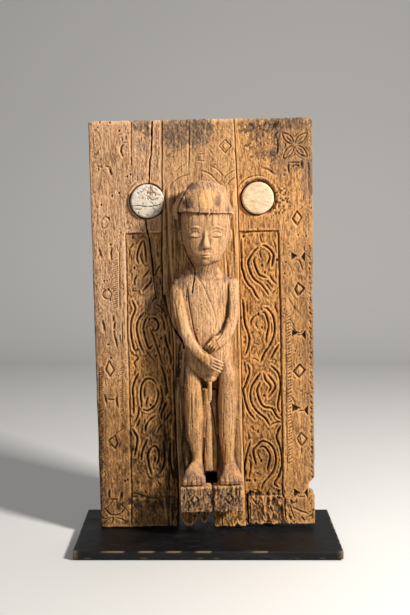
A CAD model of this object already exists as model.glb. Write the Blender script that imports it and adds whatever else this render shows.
import math

import bpy
import bmesh
import numpy as np
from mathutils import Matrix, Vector


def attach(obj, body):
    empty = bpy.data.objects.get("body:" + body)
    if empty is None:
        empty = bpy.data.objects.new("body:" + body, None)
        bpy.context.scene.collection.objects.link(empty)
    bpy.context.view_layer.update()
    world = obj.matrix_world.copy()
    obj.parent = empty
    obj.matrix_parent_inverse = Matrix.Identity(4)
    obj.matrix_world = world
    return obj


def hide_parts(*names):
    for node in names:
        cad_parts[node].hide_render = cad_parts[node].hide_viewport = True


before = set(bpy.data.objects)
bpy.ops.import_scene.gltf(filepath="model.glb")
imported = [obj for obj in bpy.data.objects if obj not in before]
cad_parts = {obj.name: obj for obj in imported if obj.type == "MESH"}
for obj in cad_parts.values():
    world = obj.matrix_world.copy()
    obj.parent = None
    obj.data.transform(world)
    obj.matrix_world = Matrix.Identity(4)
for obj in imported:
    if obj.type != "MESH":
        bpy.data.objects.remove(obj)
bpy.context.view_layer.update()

# The camera, in millimetres and radians, solved from the base's corners and the door's edges.
CAMERA_AT = (-6.4, -1992.0, 708.0)
PITCH = math.radians(6.29)
FOCAL_PIXELS = 976.0
IMAGE_WIDTH, IMAGE_HEIGHT = 410, 615
SENSOR_HEIGHT = 24

# The door's own frame: x from its centre line, z up from its foot, leaning a little.
DOOR_Z = 23.648
LEAN = math.radians(1.1)
FACE_Y, STRIP_Y, BACK_Y = 5.0, -4.0, 47.0
HALF_WIDTH, HEAD = 226.5, 847.0
HALF_GAP = 0.5
CORNER = 13
FIELD_FOOT, FIELD_TOP = 63, 620
STRIP_PROUD, STRIP_TOP = 9, 706
MORTISE_X, MORTISE_HALF, MORTISE_FOOT, MORTISE_TOP, MORTISE_DEEP = 9.4, 12, 60, 119, 22
# Each inlay's place across and up the door, and its diameter.
LEFT_INLAY, RIGHT_INLAY = (-110.2, 684.0, 69.0), (114.0, 686.0, 66.0)
INLAY_THICK, SEAT_DEEP = 17.0, 7.0
# The figure's middle and soles, and the planes on which its lines and stains are placed.
FIGURE_X, SOLES = 8.0, 111.0
FIGURE_FRONT, STAIN_FRONT = -45, -60
PEDESTAL_LEFT, PEDESTAL_RIGHT, PEDESTAL_FRONT, PEDESTAL_TALL = -56.1, 74.9, -78.0, 55
# The pitch of the photograph's pixels on the door's face.
PIXEL = 2.04


# Places and lines on the door.

def to_world(x, y, z):
    """Points of the door's frame, in millimetres, as world points in metres."""
    across = x * math.cos(LEAN) - z * math.sin(LEAN)
    up = DOOR_Z + x * math.sin(LEAN) + z * math.cos(LEAN)
    return np.stack([across, y, up], axis=-1) / 1000


def spot(u, v, y=FACE_Y):
    """The place on the door that the photograph shows at a pixel, on the plane at depth y."""
    right = (u - IMAGE_WIDTH / 2) / FOCAL_PIXELS
    up = (IMAGE_HEIGHT / 2 - v) / FOCAL_PIXELS
    reach = (y - CAMERA_AT[1]) / (math.cos(PITCH) + up * math.sin(PITCH))
    x = CAMERA_AT[0] + reach * right
    z = CAMERA_AT[2] + reach * (up * math.cos(PITCH) - math.sin(PITCH)) - DOOR_Z
    return x * math.cos(LEAN) + z * math.sin(LEAN), z * math.cos(LEAN) - x * math.sin(LEAN)


def curve(points, steps=5):
    """A smooth line through points of any number of values."""
    p = np.array(points, float)
    p = np.vstack([2 * p[0] - p[1], p, 2 * p[-1] - p[-2]])
    t = np.linspace(0, 1, steps, endpoint=False)[:, None]
    parts = [
        0.5 * (2 * b + (c - a) * t + (2 * a - 5 * b + 4 * c - d) * t ** 2
               + (3 * b - 3 * c + d - a) * t ** 3)
        for a, b, c, d in zip(p, p[1:], p[2:], p[3:])
    ]
    return np.vstack(parts + [p[-2:-1]])


def traced(pixels, y=FACE_Y, steps=5):
    """A smooth line on the door through pixels of the photograph."""
    return curve([spot(u, v, y) for u, v in pixels], steps)


def noise(x, z, size_x, size_z, seed):
    """Smooth random values from -1 to 1 that change over the given sizes."""
    table = np.random.default_rng(seed).uniform(-1, 1, (256, 256))
    u, v = x / size_x + 4096, z / size_z + 4096
    i, j = np.floor(u).astype(int), np.floor(v).astype(int)
    s, t = u - i, v - j
    s, t = s * s * (3 - 2 * s), t * t * (3 - 2 * t)
    a, b = i % 256, j % 256
    c, d = (i + 1) % 256, (j + 1) % 256
    below, above = (table[a, row] * (1 - s) + table[c, row] * s for row in (b, d))
    return below * (1 - t) + above * t


def noise_along(t, size, seed):
    """Smooth random values that change along one direction only."""
    return noise(t, 0 * t, size, 1, seed)


def ramp(value, width):
    """Rises from 0 to 1 while value passes through 0."""
    t = np.clip(value / width + 0.5, 0, 1)
    return t * t * (3 - 2 * t)


def near(gap, width):
    """1 where there is no gap, falling towards 0 over the given width."""
    return np.exp(-(gap / width) ** 2)


LONG_CUT, FAR_OFF, RIBBON_WIDTH = 34, 60.0, 9.5


class Carving:
    """The relief over a set of points: how deep each one lies, and how grey, dirty and warm it is."""

    def __init__(self, x, z):
        self.x, self.z = x, z
        self.depth, self.cut, self.lip = (np.zeros(x.shape) for _ in range(3))
        self.grey, self.dirt, self.warm = (np.zeros(x.shape) for _ in range(3))
        # How far off the nearest long cut is.
        self.ribbon = np.full(x.shape, FAR_OFF)

    def noise(self, size_x, size_z, seed):
        return noise(self.x, self.z, size_x, size_z, seed)

    def carve(self, deep, dirt):
        """Deepens the cut and darkens it where it isn't so already."""
        self.cut = np.maximum(self.cut, deep)
        self.dirt = np.maximum(self.dirt, dirt)

    def distance(self, line, reach):
        """Distance to a line of points, and infinity beyond the given reach."""
        low, high = line.min(axis=0) - reach, line.max(axis=0) + reach
        close = (self.x > low[0]) & (self.x < high[0]) & (self.z > low[1]) & (self.z < high[1])
        x, z = self.x[close], self.z[close]
        best = np.full(x.shape, np.inf)
        for (ax, az), (bx, bz) in zip(line, line[1:]):
            dx, dz = bx - ax, bz - az
            along = np.clip(((x - ax) * dx + (z - az) * dz) / max(dx * dx + dz * dz, 1e-9), 0, 1)
            best = np.minimum(best, np.hypot(x - ax - along * dx, z - az - along * dz))
        gap = np.full(self.x.shape, np.inf)
        gap[close] = best
        return gap

    def groove(self, line, deep, soft, taper=12):
        """A cut that runs out at its ends, with a worn lip along both sides."""
        gap = self.distance(line, 30)
        fade = 0.9 + 0.4 * self.noise(5, 7, 3)
        length = np.hypot(*np.diff(line, axis=0).T).sum()
        if taper:
            for x, z in (line[0], line[-1]):
                away = np.hypot(self.x - x, self.z - z) / min(taper, 0.45 * length)
                fade = np.minimum(fade, 0.15 + away)
        self.carve(deep * fade * near(gap, soft), min(0.14 * deep, 0.85) * fade * near(1.1 * gap, soft))
        self.lip = np.maximum(self.lip, 0.08 * deep * fade * near(gap - 2.2 * soft, soft))
        # Only long cuts have ribbons beside them.
        if length > LONG_CUT:
            self.ribbon = np.minimum(self.ribbon, gap + 2.5 * (1 - np.clip(fade, 0, 1)))

    def grooves(self, lines, deep, soft):
        """Cuts along several lines that are given in pixels."""
        for pixels in lines:
            self.groove(traced(pixels, steps=4), deep, soft)

    def cuts(self, kinds):
        """Cuts of several kinds: depth, width and lines in pixels."""
        for deep, soft, lines in kinds:
            self.grooves(lines, deep, soft)

    def split(self, line, deep, half):
        """An open crack with steep walls."""
        gap = self.distance(line, 3 * half) - 0.4 * half * self.noise(4, 9, 5)
        wall = np.clip((half - gap) / (0.5 * half), 0, 1)
        self.carve(deep * wall, wall)

    def cracks(self, kinds, y=FACE_Y):
        """Open cracks: depth, half width and line in pixels."""
        for deep, half, pixels in kinds:
            self.split(traced(pixels, y), deep, half)

    def pit(self, x, z, half_x, half_z, deep):
        """A rounded hollow, or a boss where deep is negative."""
        bowl = np.sqrt(np.clip(1 - ((self.x - x) / half_x) ** 2 - ((self.z - z) / half_z) ** 2, 0, 1))
        if deep > 0:
            self.carve(deep * bowl, min(0.3 * deep, 0.8) * bowl)
        else:
            self.depth += deep * bowl

    def pits(self, places, half_x, half_z, deep):
        """Hollows at several pixels."""
        for u, v in places:
            self.pit(*spot(u, v), half_x, half_z, deep)

    def chip(self, u, v, reach, tall, deep):
        """A three-cornered chip with its upright side at a pixel and its point reach pixels away."""
        x, z = spot(u, v)
        along = (self.x - x) / (PIXEL * reach)
        slope = (PIXEL * tall * (1 - along) - np.abs(self.z - z)) * 0.7
        margin = np.minimum(along * abs(PIXEL * reach), slope) + 0.5 * self.noise(2.5, 3, 7)
        wall = np.clip(margin / 1.6 + 0.4, 0, 1) * (margin > -0.7)
        self.carve(deep * wall, 0.85 * wall)

    def seat(self, x, z, diameter):
        """The sunk seat of an inlay, with a dark gap round it."""
        away = np.hypot(self.x - x, self.z - z)
        turn = np.arctan2(self.z - z, self.x - x)
        sunk = ramp(diameter / 2 + 2.0 + 0.8 * noise_along(9 * turn, 3, 6) - away, 1.6)
        self.carve(4.5 * sunk, 0.9 * sunk)

    def patch(self, name):
        """How far each point belongs to a ragged, speckled patch, from 0 to 1."""
        u0, v0, u1, v1, ragged, seed = PATCHES[name]
        (x0, z1), (x1, z0) = spot(u0, v0), spot(u1, v1)
        inside = np.minimum(np.minimum(self.x - x0, x1 - self.x), np.minimum(self.z - z0, z1 - self.z))
        torn = 0.7 * self.noise(13, 15, seed) + 0.5 * self.noise(5, 6, seed + 1)
        torn += 0.35 * self.noise(2.2, 2.6, seed + 2)
        return ramp(inside + ragged * torn, 0.5 * ragged)

    def diamond(self, corners, deep, soft, boss):
        """A four-cornered outline through pixels, with a low boss in it."""
        self.groove(traced(corners + corners[:1], steps=1), deep, soft, 0)
        across, up = zip(*[spot(u, v) for u, v in corners])
        half_x, half_z = (max(across) - min(across)) / 2, (max(up) - min(up)) / 2
        self.pit(min(across) + half_x, min(up) + half_z, 0.6 * half_x, 0.6 * half_z, -boss)

    def ring(self, u, v, radius, deep, boss):
        """A round groove with a low boss in it, sized in pixels."""
        turns = np.linspace(0, 2 * math.pi, 17)
        circle = [(u + radius * math.cos(t), v + radius * math.sin(t)) for t in turns]
        self.groove(traced(circle, steps=2), deep, 1.2, 0)
        self.pit(*spot(u, v), radius * 1.2, radius * 1.2, -boss)

    def arc(self, u, v, radius, first, last, deep, soft):
        """A round groove about a pixel: radius in pixels, first and last angle in degrees."""
        turns = np.radians(np.linspace(first, last, 15))
        line = [(u + radius * math.cos(t), v - radius * math.sin(t)) for t in turns]
        self.groove(traced(line, steps=2), deep, soft)

    def leaf(self, u, v, tip_u, tip_v, width, deep, soft):
        """A pointed petal with a middle rib, from a pixel to its tip."""
        along_u, along_v = tip_u - u, tip_v - v
        length = math.hypot(along_u, along_v)
        for side in (-1, 0, 1):
            line = []
            for t in np.linspace(0.08, 1 if side else 0.7, 9):
                swell = side * width * math.sin(math.pi * t) / length
                line.append((u + along_u * t - along_v * swell, v + along_v * t + along_u * swell))
            self.groove(traced(line, steps=2), deep if side else 0.6 * deep, soft, 3)

    def weather(self, seed, rough):
        """Grain, pitting, checks and short scars, as on wood that stood long in the open."""
        x, z = self.x, self.z
        wander = x + 1.6 * noise(x, z, 30, 90, seed)
        self.depth += 0.6 * noise(x, z, 45, 110, seed + 1) + 0.4 * noise(x, z, 12, 22, seed + 2)
        for share, size_x, size_z, step in (
                (0.36, 4.2, 9, 3), (0.30, 2.2, 5, 4), (0.24, 2.8, 26, 5), (0.2, 1.8, 9, 6)):
            self.depth += rough * share * noise(wander, z, size_x, size_z, seed + step)
        patchy = 0.6 + 0.4 * noise(x, z, 30, 40, seed + 7)
        scars = [
            (noise(x, z, 2.5, 3.4, seed + 8), 0.58, 3.4),
            (noise(x + 0.7 * z, z - 0.7 * x, 2.4, 11, seed + 9), 0.58, 2.4),
            (noise(x - 0.5 * z, z + 0.5 * x, 2.4, 9, seed + 10), 0.64, 2.4),
            (noise(wander, z, 2.2, 26, seed + 11), 0.72, 5.0),
        ]
        for field, level, deep in scars:
            mark = np.clip(field - level, 0, 1) * patchy
            self.carve(rough * deep * mark, 1.3 * mark)


# Lines, cuts and marks read off the photograph, in its pixels. Cuts of one kind share a depth and a width
# in millimetres, which come before them.

RIGHT_EDGE = [
    (278.5, 233), (279.4, 265), (280.2, 295), (281, 330), (281.5, 380), (282.2, 415), (282.8, 455),
    (283, 496),
]
RIGHT_SCROLLS = [
    [(241.6, 252), (241.5, 266), (243, 272), (245, 279), (248.5, 285), (252, 288), (254.5, 293),
     (258.5, 299)],
    [(262, 245.5), (266, 246.5), (272, 252), (273.5, 257), (271.5, 267)],
    [(257.5, 248), (254, 251.5), (248.7, 260), (248.3, 266), (253, 278), (260.5, 284), (264, 288),
     (268.5, 294.5)],
    [(255.3, 257), (254, 262), (258, 273), (261, 276), (266, 278)],
    [(269, 254.5), (269.5, 259), (266.5, 266)], [(270, 275), (272, 279), (275.5, 283.5)],
    [(265, 283), (268.5, 287), (270.5, 291)], [(266, 281), (268, 282), (272, 287)],
    [(264, 308), (268, 309.5), (273.5, 318), (274.5, 333), (270, 345), (264, 354), (260.5, 363)],
    [(262, 313), (265, 313.5), (268.5, 325), (266.5, 337), (266, 343)],
    [(257, 315), (253, 318), (251, 322), (251, 326.5)],
    [(242.5, 300), (243.6, 309), (244.5, 322), (248, 334), (249.3, 340), (247.5, 350), (244.5, 356)],
    [(275, 303), (275.5, 308), (278, 314)], [(278.8, 345), (275, 351), (270.5, 359.5)],
    [(247.5, 365), (249.3, 373), (244.5, 387), (243, 391), (247.5, 409), (254.5, 420)],
    [(260, 374), (256, 380), (251, 389), (251, 402), (257, 412), (265, 418.5), (269.8, 426)],
    [(260, 383), (257, 391), (260, 402), (264.5, 407.5), (272, 409), (277, 417), (281.5, 420)],
    [(263.5, 373.5), (265.5, 380), (270.5, 387), (268, 394)],
    [(268, 375), (273.5, 382), (275, 388), (268.5, 398)],
    [(271, 366), (278.5, 374), (280.5, 388), (277.5, 406), (279.5, 412)],
    [(270.5, 426.5), (273, 424), (281, 421.5)],
    [(280.5, 426), (276.7, 437), (280, 448), (282, 462), (279.5, 475), (274.5, 484), (278.5, 488)],
    [(254, 450), (260, 443), (265, 442), (272.5, 447.5), (276, 460), (273, 472), (263.5, 484),
     (261.5, 490)],
    [(254, 448), (253.3, 454), (256, 465)],
    [(259.5, 448), (264.5, 447.5), (270, 456), (268, 468), (268, 471)],
    [(250.5, 442), (247.3, 452), (244.5, 468), (245.5, 473), (244.5, 478)],
]
RIGHT_FINE = [
    [(241, 240), (241, 262)], [(260, 235), (261.5, 243)], [(260, 250), (260, 254), (261.5, 258)],
    [(275.5, 270), (276, 280)], [(273, 240), (275, 245), (276, 250)],
    [(271, 295), (276, 290), (279, 287)], [(247, 303), (247, 313)],
    [(271, 322), (272, 330), (271.5, 334)], [(256.5, 323), (256, 325), (258.5, 329)],
    [(274.5, 337), (275.5, 345)], [(254, 343), (259, 345)], [(252.5, 347), (251.5, 352)],
    [(256, 350), (254, 354)], [(260, 350), (258.5, 356)], [(252, 358), (256, 359.5), (259, 362)],
    [(272, 359.5), (276, 361), (274, 366)], [(244, 362), (245.5, 368)], [(241.5, 374), (242, 385)],
    [(242.5, 400), (243, 420)], [(270, 412), (273, 416), (274.7, 419)],
    [(268, 414), (269.5, 418), (271, 420)], [(275, 409), (277, 412)],
    [(251.5, 427), (253.5, 430), (255.5, 431)], [(248.5, 434), (249, 439)],
    [(249, 460), (251, 465), (249, 478)], [(257, 452), (259, 457), (260.5, 461)],
    [(256, 473), (260, 475.5)], [(252.5, 490), (257, 491), (261, 494)],
]
RIGHT_SPOTS = [
    (262, 265.5), (265, 272.5), (277, 260), (243.5, 236.5), (241, 318), (238.5, 325), (258.3, 314.5),
    (262, 328), (264, 396), (258, 432), (261.3, 461.5), (247, 481), (249.5, 481), (255, 481),
]
RIGHT_CUTS = [
    (4.6, 1.9, [[(288.8, 162.5), (288.2, 168), (289.5, 174)], [(301.3, 161.5), (301.9, 167)]]),
    (3.2, 1.4, [
        [(304, 246), (304.2, 252)], [(296, 259), (300, 262), (302.5, 270)],
        [(296, 334.6), (299, 335), (303, 334.2)], [(299, 410.8), (304.5, 410.8)],
        [(301.5, 446), (301.5, 455)], [(297.5, 496.2), (301, 497), (305, 496.2)],
        [(292, 326), (295, 331), (299, 333), (303, 331)],
    ]),
    (2.8, 1.4, [
        [(287, 162.3), (302.5, 162.3)], [(290, 170), (293, 166), (297, 165), (300, 168)],
        [(282, 169), (286, 171)],
    ]),
    (2.6, 1.5, [[(242, 233.5), (250, 232), (258, 231.5), (273, 231)], [(257.5, 228), (257.5, 231)]]),
    (2.4, 1.2, [[(300.3, 436.5), (300, 439), (300.5, 441.5)]]),
    (1.8, 1.2, [
        [(304, 251), (312, 251.5)], [(288, 297), (292, 305), (296, 312)],
        [(289, 318), (293, 324), (295, 330)], [(290, 395), (294, 401), (296, 408)],
        [(290, 300), (294, 307), (298, 313)], [(293, 304), (297, 310), (301, 314)],
        [(287, 262), (291, 268), (293, 276)], [(290.5, 290), (293, 296), (297, 300)],
    ]),
    (1.7, 1.2, [
        [(290, 132), (293, 135), (294.5, 137), (297, 134), (301, 132.5)],
        [(281, 139), (285.5, 145), (282, 151)],
        [(286, 159), (291, 157), (295.5, 154), (299, 157), (302, 158)],
        [(308.5, 138), (304, 144.5), (308, 151)],
    ]),
    (1.6, 1.4, [[(308.3, 160), (308.6, 176), (308.5, 193)]]),
    (1.6, 1.2, [[(285.5, 312), (286.2, 380), (287.2, 470)]]),
]
# The chipped crosses between the border's diamonds: two chips each, with reach and height.
CROSSES = [
    (291.2, 256, 6, 4.2), (304.8, 257, -4, 5), (292, 333, 6.2, 3.6), (305.4, 334.8, -3.8, 5),
    (292.2, 408.2, 8, 4), (307.8, 410.4, -4, 5.2), (293.9, 493, 6.4, 4.4), (307.6, 493, -3.6, 5),
]
# The corners, depth, width and boss of each diamond.
RIGHT_DIAMONDS = [
    ([(298, 283), (304, 288.5), (298, 295.5), (294.8, 289)], 4.6, 1.8, 1.8),
    ([(299.5, 364.5), (304.8, 370), (299, 377.3), (293.5, 371.5)], 4.6, 1.8, 1.6),
    ([(301.3, 433), (306.8, 439), (301.5, 446), (297, 439)], 3.6, 1.7, 1.6),
    ([(296.8, 211.5), (301.8, 217.5), (297, 225), (292.4, 218.7)], 4.0, 1.7, 1.2),
]
RIGHT_PITS = [
    (284.5, 273.5), (303, 518), (304.5, 520), (310, 512), (313, 510), (286, 262), (306, 236), (284, 175),
    (290, 206), (311, 208), (288, 244), (298, 235), (295, 351), (301, 391), (289, 463),
]
BAND = [(288.6, 300), (289, 400), (290.2, 500)]
# The slanting cuts of the twisted band, and the notches at the outer edge: a pixel that their line passes,
# its slope, and the height of the first one, the step down and how many there are.
TWISTS = (288.4, 318, 0.011, 317, 3.15, 48)
RIGHT_NOTCHES = (309.2, 248, 0.012, 246, 3.4, 70)
FLOWER = (294.5, 144.6)
FLOWER_TIPS = [(281.8, 132.5), (307.3, 132.5), (283.2, 159), (307.3, 156.8)]
BRACKET = [[(272, 138.5), (277, 138.5), (277.3, 152), (272, 152)], [(274, 145), (279, 145)]]
RIM_ARC = (258, 198, 22.6, 70, 165)
RIM_CUT = [(263.7, 168), (269, 170), (274.7, 174.4)]
FOOT_CRACKS = [
    (10, 2.4, [(247.5, 496), (247.8, 510), (248.5, 524)]),
    (5, 1.0, [(250.2, 503), (250.4, 514), (251, 524)]),
    (8, 1.6, [(285.3, 500), (285, 510), (286, 520)]),
    (4, 1.0, [(290, 505), (292, 512), (295, 519)]),
]
FOOT_CUTS = [
    [(292, 507), (300, 511), (309, 514)], [(301, 516), (304, 521)], [(252, 498), (257, 505), (260, 499)],
    [(263, 512), (266, 520)], [(270, 505), (274, 516)], [(308, 517), (312, 515)],
]

LEFT_EDGE = [
    (125.4, 236), (126.2, 265), (127, 300), (127.3, 335), (128.6, 365), (129.4, 395), (130.2, 440),
    (131.4, 490),
]
LEFT_SCROLLS = [
    [(143.5, 240.5), (141, 243), (138, 250), (136.5, 258), (138, 263)],
    [(144, 241), (145.3, 252), (146, 262)], [(140.7, 252), (140.2, 256), (143, 263.5)],
    [(132.3, 244.5), (130, 248.5)], [(149.3, 268.5), (147.7, 272), (142.2, 278.8)],
    [(136.3, 276), (134.5, 280), (134.2, 285)], [(151, 277.5), (150.5, 282), (144.5, 289), (142.5, 292)],
    [(132, 301), (135, 309), (131.5, 319), (130.5, 331), (133, 347), (136, 352.5)],
    [(143.5, 313), (138.5, 319.5), (136.3, 329), (139, 342), (143.5, 353)],
    [(146.8, 317), (143.3, 328), (146, 341), (149.5, 348.5), (152.3, 345)],
    [(150, 329), (154, 338), (158.5, 352), (163, 366)],
    [(151, 318), (155.5, 319), (158.3, 324), (157.8, 329), (154, 331.5)],
    [(160, 315), (163.5, 321), (164.5, 332)], [(146.5, 351), (150, 356), (155, 362)],
    [(164, 333), (167, 345), (170.5, 356), (171, 366)], [(169, 333), (169.5, 340), (170.5, 345)],
    [(137, 356), (137.5, 359), (134.3, 363), (136, 368.5)],
    [(138, 374), (135, 380), (132.3, 389), (133.3, 403), (133.3, 414)],
    [(156, 384), (152.5, 380), (147, 379.2), (142.5, 383), (140.3, 392), (141.3, 406)],
    [(156.5, 388), (158.3, 395), (155, 405), (148, 411), (143.5, 410)],
    [(144.3, 388), (144, 393), (144.7, 399)], [(148, 397), (146.5, 401), (146, 406)],
    [(160.5, 386), (162.5, 398), (161, 406), (158.7, 413)],
    [(160.5, 364), (165, 377), (167, 390), (166, 396)], [(139, 408), (137.5, 416), (134.3, 423)],
    [(139.5, 419), (138, 424), (135.5, 428)], [(155, 416), (149, 421), (145.5, 427), (145, 432)],
    [(132.5, 430), (136.8, 438), (136, 448), (134.3, 457)], [(147, 440), (142.5, 450), (141, 460)],
    [(149.8, 448.5), (147.3, 457), (149, 467), (151.5, 475.5)],
    [(163, 440), (164, 446), (164.8, 456), (163.5, 466), (159.6, 474)],
    [(151, 448.5), (155, 446.5), (158.5, 452), (158.5, 460), (156, 466)],
    [(167.5, 401), (164.5, 407), (161.5, 414), (161, 420)], [(171, 411), (168, 417), (164.5, 421.5)],
    [(164, 424), (159.5, 428), (157.5, 433)], [(170.5, 444), (170, 456), (171.5, 468), (173.5, 479)],
    [(154, 456), (155, 459), (154.5, 462.5)],
]
LEFT_FINE = [
    [(129.3, 249), (129.5, 258)], [(131, 254), (131, 262)], [(131.5, 273), (131.5, 280)],
    [(132.5, 289.5), (133, 291.3), (137, 291.3)], [(144.5, 311), (146, 315)], [(160.5, 321), (161, 326)],
    [(159.5, 352), (162, 356), (163.5, 360)], [(153, 355), (157, 361)], [(164.5, 366), (166.5, 374)],
    [(141.5, 366), (143.5, 368)], [(142, 413), (141.5, 419)], [(144.5, 420), (143.5, 425)],
    [(158, 417), (160, 422), (161.5, 430)], [(161.5, 453), (161, 458), (163, 462)],
    [(159, 463), (160, 470), (158, 476)], [(157, 481), (158.5, 484), (161, 486)],
    [(156, 489), (160, 493), (163, 500)], [(133, 493), (140, 495.5), (148, 497)],
    [(143.5, 489), (147, 495)],
]
LEFT_SPOTS = [
    (132.5, 237.5), (149.5, 319.3), (154.5, 319.3), (153, 330), (161, 338.5), (159.5, 346.3), (156, 356),
    (150.3, 405.5), (141.3, 406), (150.3, 449.5), (134, 268), (137, 350),
]
LEFT_CUTS = [
    (5.4, 2.0, [
        [(98.6, 248.5), (99.6, 252), (101.2, 257.5)], [(111.6, 248.5), (111, 253), (111.2, 259)],
        [(110.5, 252), (111, 256)], [(102.6, 321.5), (103.8, 326), (104.3, 331)],
        [(114.8, 321.5), (114.2, 326), (114, 330)], [(104.6, 395.5), (105.4, 399), (106.6, 404)],
        [(117.2, 396), (116.4, 400), (117.6, 407)], [(109, 490), (109, 495), (109.6, 499)],
        [(121.4, 493), (121, 496), (120.2, 500)], [(113.3, 316.5), (113.3, 321)],
        [(123, 144), (121, 148), (121, 152), (122.5, 156)], [(109, 168), (111, 174)],
    ]),
    (3.4, 1.5, [
        [(113.5, 333), (116, 342), (117.5, 349)], [(108.5, 440), (115, 436)],
        [(105, 216), (108.5, 219), (109, 221.5)], [(126, 136.5), (126, 140)], [(98.3, 167), (98.3, 171)],
        [(122.2, 137), (122.2, 142)], [(99.4, 254), (98, 258)],
        [(104, 508), (110, 514), (114, 515), (120, 514), (125, 508)],
        [(112, 516), (113, 520), (111, 524)], [(110, 499.5), (119, 499.5)], [(97, 166), (101.5, 167)],
        [(105.5, 166.2), (110, 167)], [(106.5, 399), (116, 400)],
    ]),
    (2.6, 1.5, [[(125.5, 235), (131, 234.3), (140.5, 232.7)]]),
    (2.3, 1.2, [
        [(101, 222), (102.5, 228), (106, 227), (109, 222)], [(101, 221), (105, 216)],
        [(110.5, 297), (109.5, 301)], [(119.5, 333), (121, 345)], [(115, 436), (117, 433), (124, 428)],
        [(107.5, 443), (111, 447)], [(120.5, 142), (128, 142.5)],
        [(119.4, 248), (119.5, 275), (119.6, 309)], [(122, 322), (122.5, 345)],
        [(115, 497), (109, 506), (101, 511)], [(117, 503), (124, 507), (129, 513)],
        [(103, 524), (109, 519), (113, 517)], [(128, 522), (121, 519), (115, 517)],
        [(100, 515), (105, 519), (110, 517)],
    ]),
    (2.2, 1.7, [[(131, 498), (140, 496.5), (149, 498), (164, 499)]]),
    (3.0, 1.6, [[(159.5, 277), (161.5, 287), (164.5, 302)], [(157, 240), (157.5, 258)]]),
    (2.0, 1.0, [[(99, 366), (99.4, 430), (100, 500)]]),
    (0.9, 1.2, [[(116.5, 160), (117, 200), (117.5, 235)]]),
]
LEFT_EDGE_FOOT = (131.5, 526)
LEFT_LINE = [(131, 122), (131, 143), (131.2, 165)]
# Rows of short cuts down the border: where the first one starts, the step down and how many there are.
LEFT_STROKES = (113.8, 260, 2.15, 23)
LEFT_NOTCHES = (98, 368, 2.2, 60)
# The notches along the border's other edge, and the height in pixels at which they end.
INNER_NOTCHES, INNER_END = 120, 414
LEFT_RING = (107, 294.5, 4.3)
LEFT_DIAMONDS = [
    ([(109, 361), (114, 370), (110, 376.5), (105.5, 369)], 3.8, 1.5, 1.6),
    ([(115, 435.5), (117.5, 443), (115, 448.5), (108.3, 441)], 3.6, 1.5, 1.0),
]
LEFT_BOSS = [(103.5, 222.3)]
LEFT_PITS = [
    (99.5, 122), (109.5, 122.5), (119, 131), (110.5, 244.5), (108, 344.5), (110.7, 358), (125, 481),
    (127.5, 480), (130.5, 174.5), (127, 176.5), (112, 196), (119, 193), (122, 155), (101, 205),
    (104, 281), (108.3, 289.3), (110, 300), (108.5, 218), (114, 332), (116.2, 340),
]
LEFT_ARC = (147.5, 200, 20.6, 120, 240)
# The long crack, which starts at the head and runs behind the inlay.
LEFT_CRACKS = [
    (12, 1.5, [(152, 119), (151.5, 140), (151, 155), (149.5, 163), (149, 186)]),
    (11, 1.9, [(145, 216), (147, 230), (149.5, 242), (151, 254), (152.5, 266), (153.3, 275)]),
    (9, 0.9, [(153.4, 274), (154, 285), (155.5, 294), (156, 298)]),
    (7, 1.3, [(156.3, 298), (154, 299.5), (152, 301.7)]),
    (6, 1.1, [(157.5, 305), (161, 307.5), (165, 313)]),
    (7, 1.1, [(159.8, 266), (157.8, 269), (156, 273.5), (154.5, 276)]),
]
CRACK_SLOPE = [(149, 240), (154, 268), (157, 292), (163, 309)]
CRACK_PALE = [(151.5, 238), (154, 256), (155, 270), (156, 290)]

# The crack beside the jaw, the gash from the left joint, and the hollow by the elbow to which it leads.
JAW_CRACK = [(183.4, 244), (188, 256.5), (193, 266)]
GASH = [(164.3, 296), (166, 307), (168.6, 317), (174, 328), (179, 336), (183, 342), (184, 348)]
ELBOW_HOLLOW = [(181, 345), (180, 357), (178, 370), (174.5, 388), (172.8, 405), (172, 440)]
MIDDLE_DIAMONDS = [
    ([(225, 139.5), (231, 146), (225, 152.5), (219, 146)], 2.6, 1.3, 0.4),
    ([(225, 142.5), (228.3, 146), (225, 149.7), (221.7, 146)], 1.5, 1.1, 0.4),
]
MIDDLE_CUTS = [
    (2.2, 1.3, [
        [(189, 119), (189, 150), (188.5, 171)], [(236, 119), (236.5, 150), (238, 180), (239.5, 222)],
        [(201, 170), (210, 174), (217, 181), (223, 187)], [(210, 165), (218, 170), (224, 177)],
        [(224, 178), (228, 174), (236, 169)], [(226, 186), (231, 180), (237, 176)],
    ]),
    (1.4, 1.2, [
        [(198, 154), (206, 153.5)], [(176, 172), (180, 167), (186, 164)],
        [(170, 186), (178, 178), (190, 174)], [(196, 160), (206, 161)], [(209, 149), (214, 156)],
        [(192, 141), (192, 149)], [(231, 158), (236, 163)],
    ]),
]

# Ragged patches: two corners in pixels, how ragged in millimetres, and a seed.
PATCHES = {
    "bruise": (142, 280, 163, 318, 14, 48), "left_head_grey": (131, 110, 150, 133, 9, 31),
    "left_crack_grey": (139, 134, 151, 152, 9, 34), "left_head_soot": (131, 110, 150, 134, 9, 31),
    "left_foot_soot": (128, 500, 182, 545, 12, 33), "left_corner_soot": (90, 500, 130, 545, 12, 44),
    "left_low_soot": (120, 425, 182, 505, 24, 47), "left_foot_grey": (132, 499, 182, 545, 12, 36),
    "left_border_grey": (102, 420, 109, 500, 6, 50), "left_edge_grey": (88, 366, 101, 500, 7, 42),
    "eaten": (248, 124, 279, 160, 14, 51), "right_charred": (240, 106, 325, 130, 10, 54),
    "right_corner": (270, 112, 318, 170, 14, 70), "right_edge_grey": (302, 158, 322, 196, 8, 55),
    "right_edge_low": (302, 190, 322, 480, 8, 56), "rim_chips": (273, 186, 287, 214, 8, 57),
    "eroded": (246, 495, 290, 545, 12, 61), "middle_charred": (150, 104, 212, 147, 13, 87),
}


# The three planks.

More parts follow.
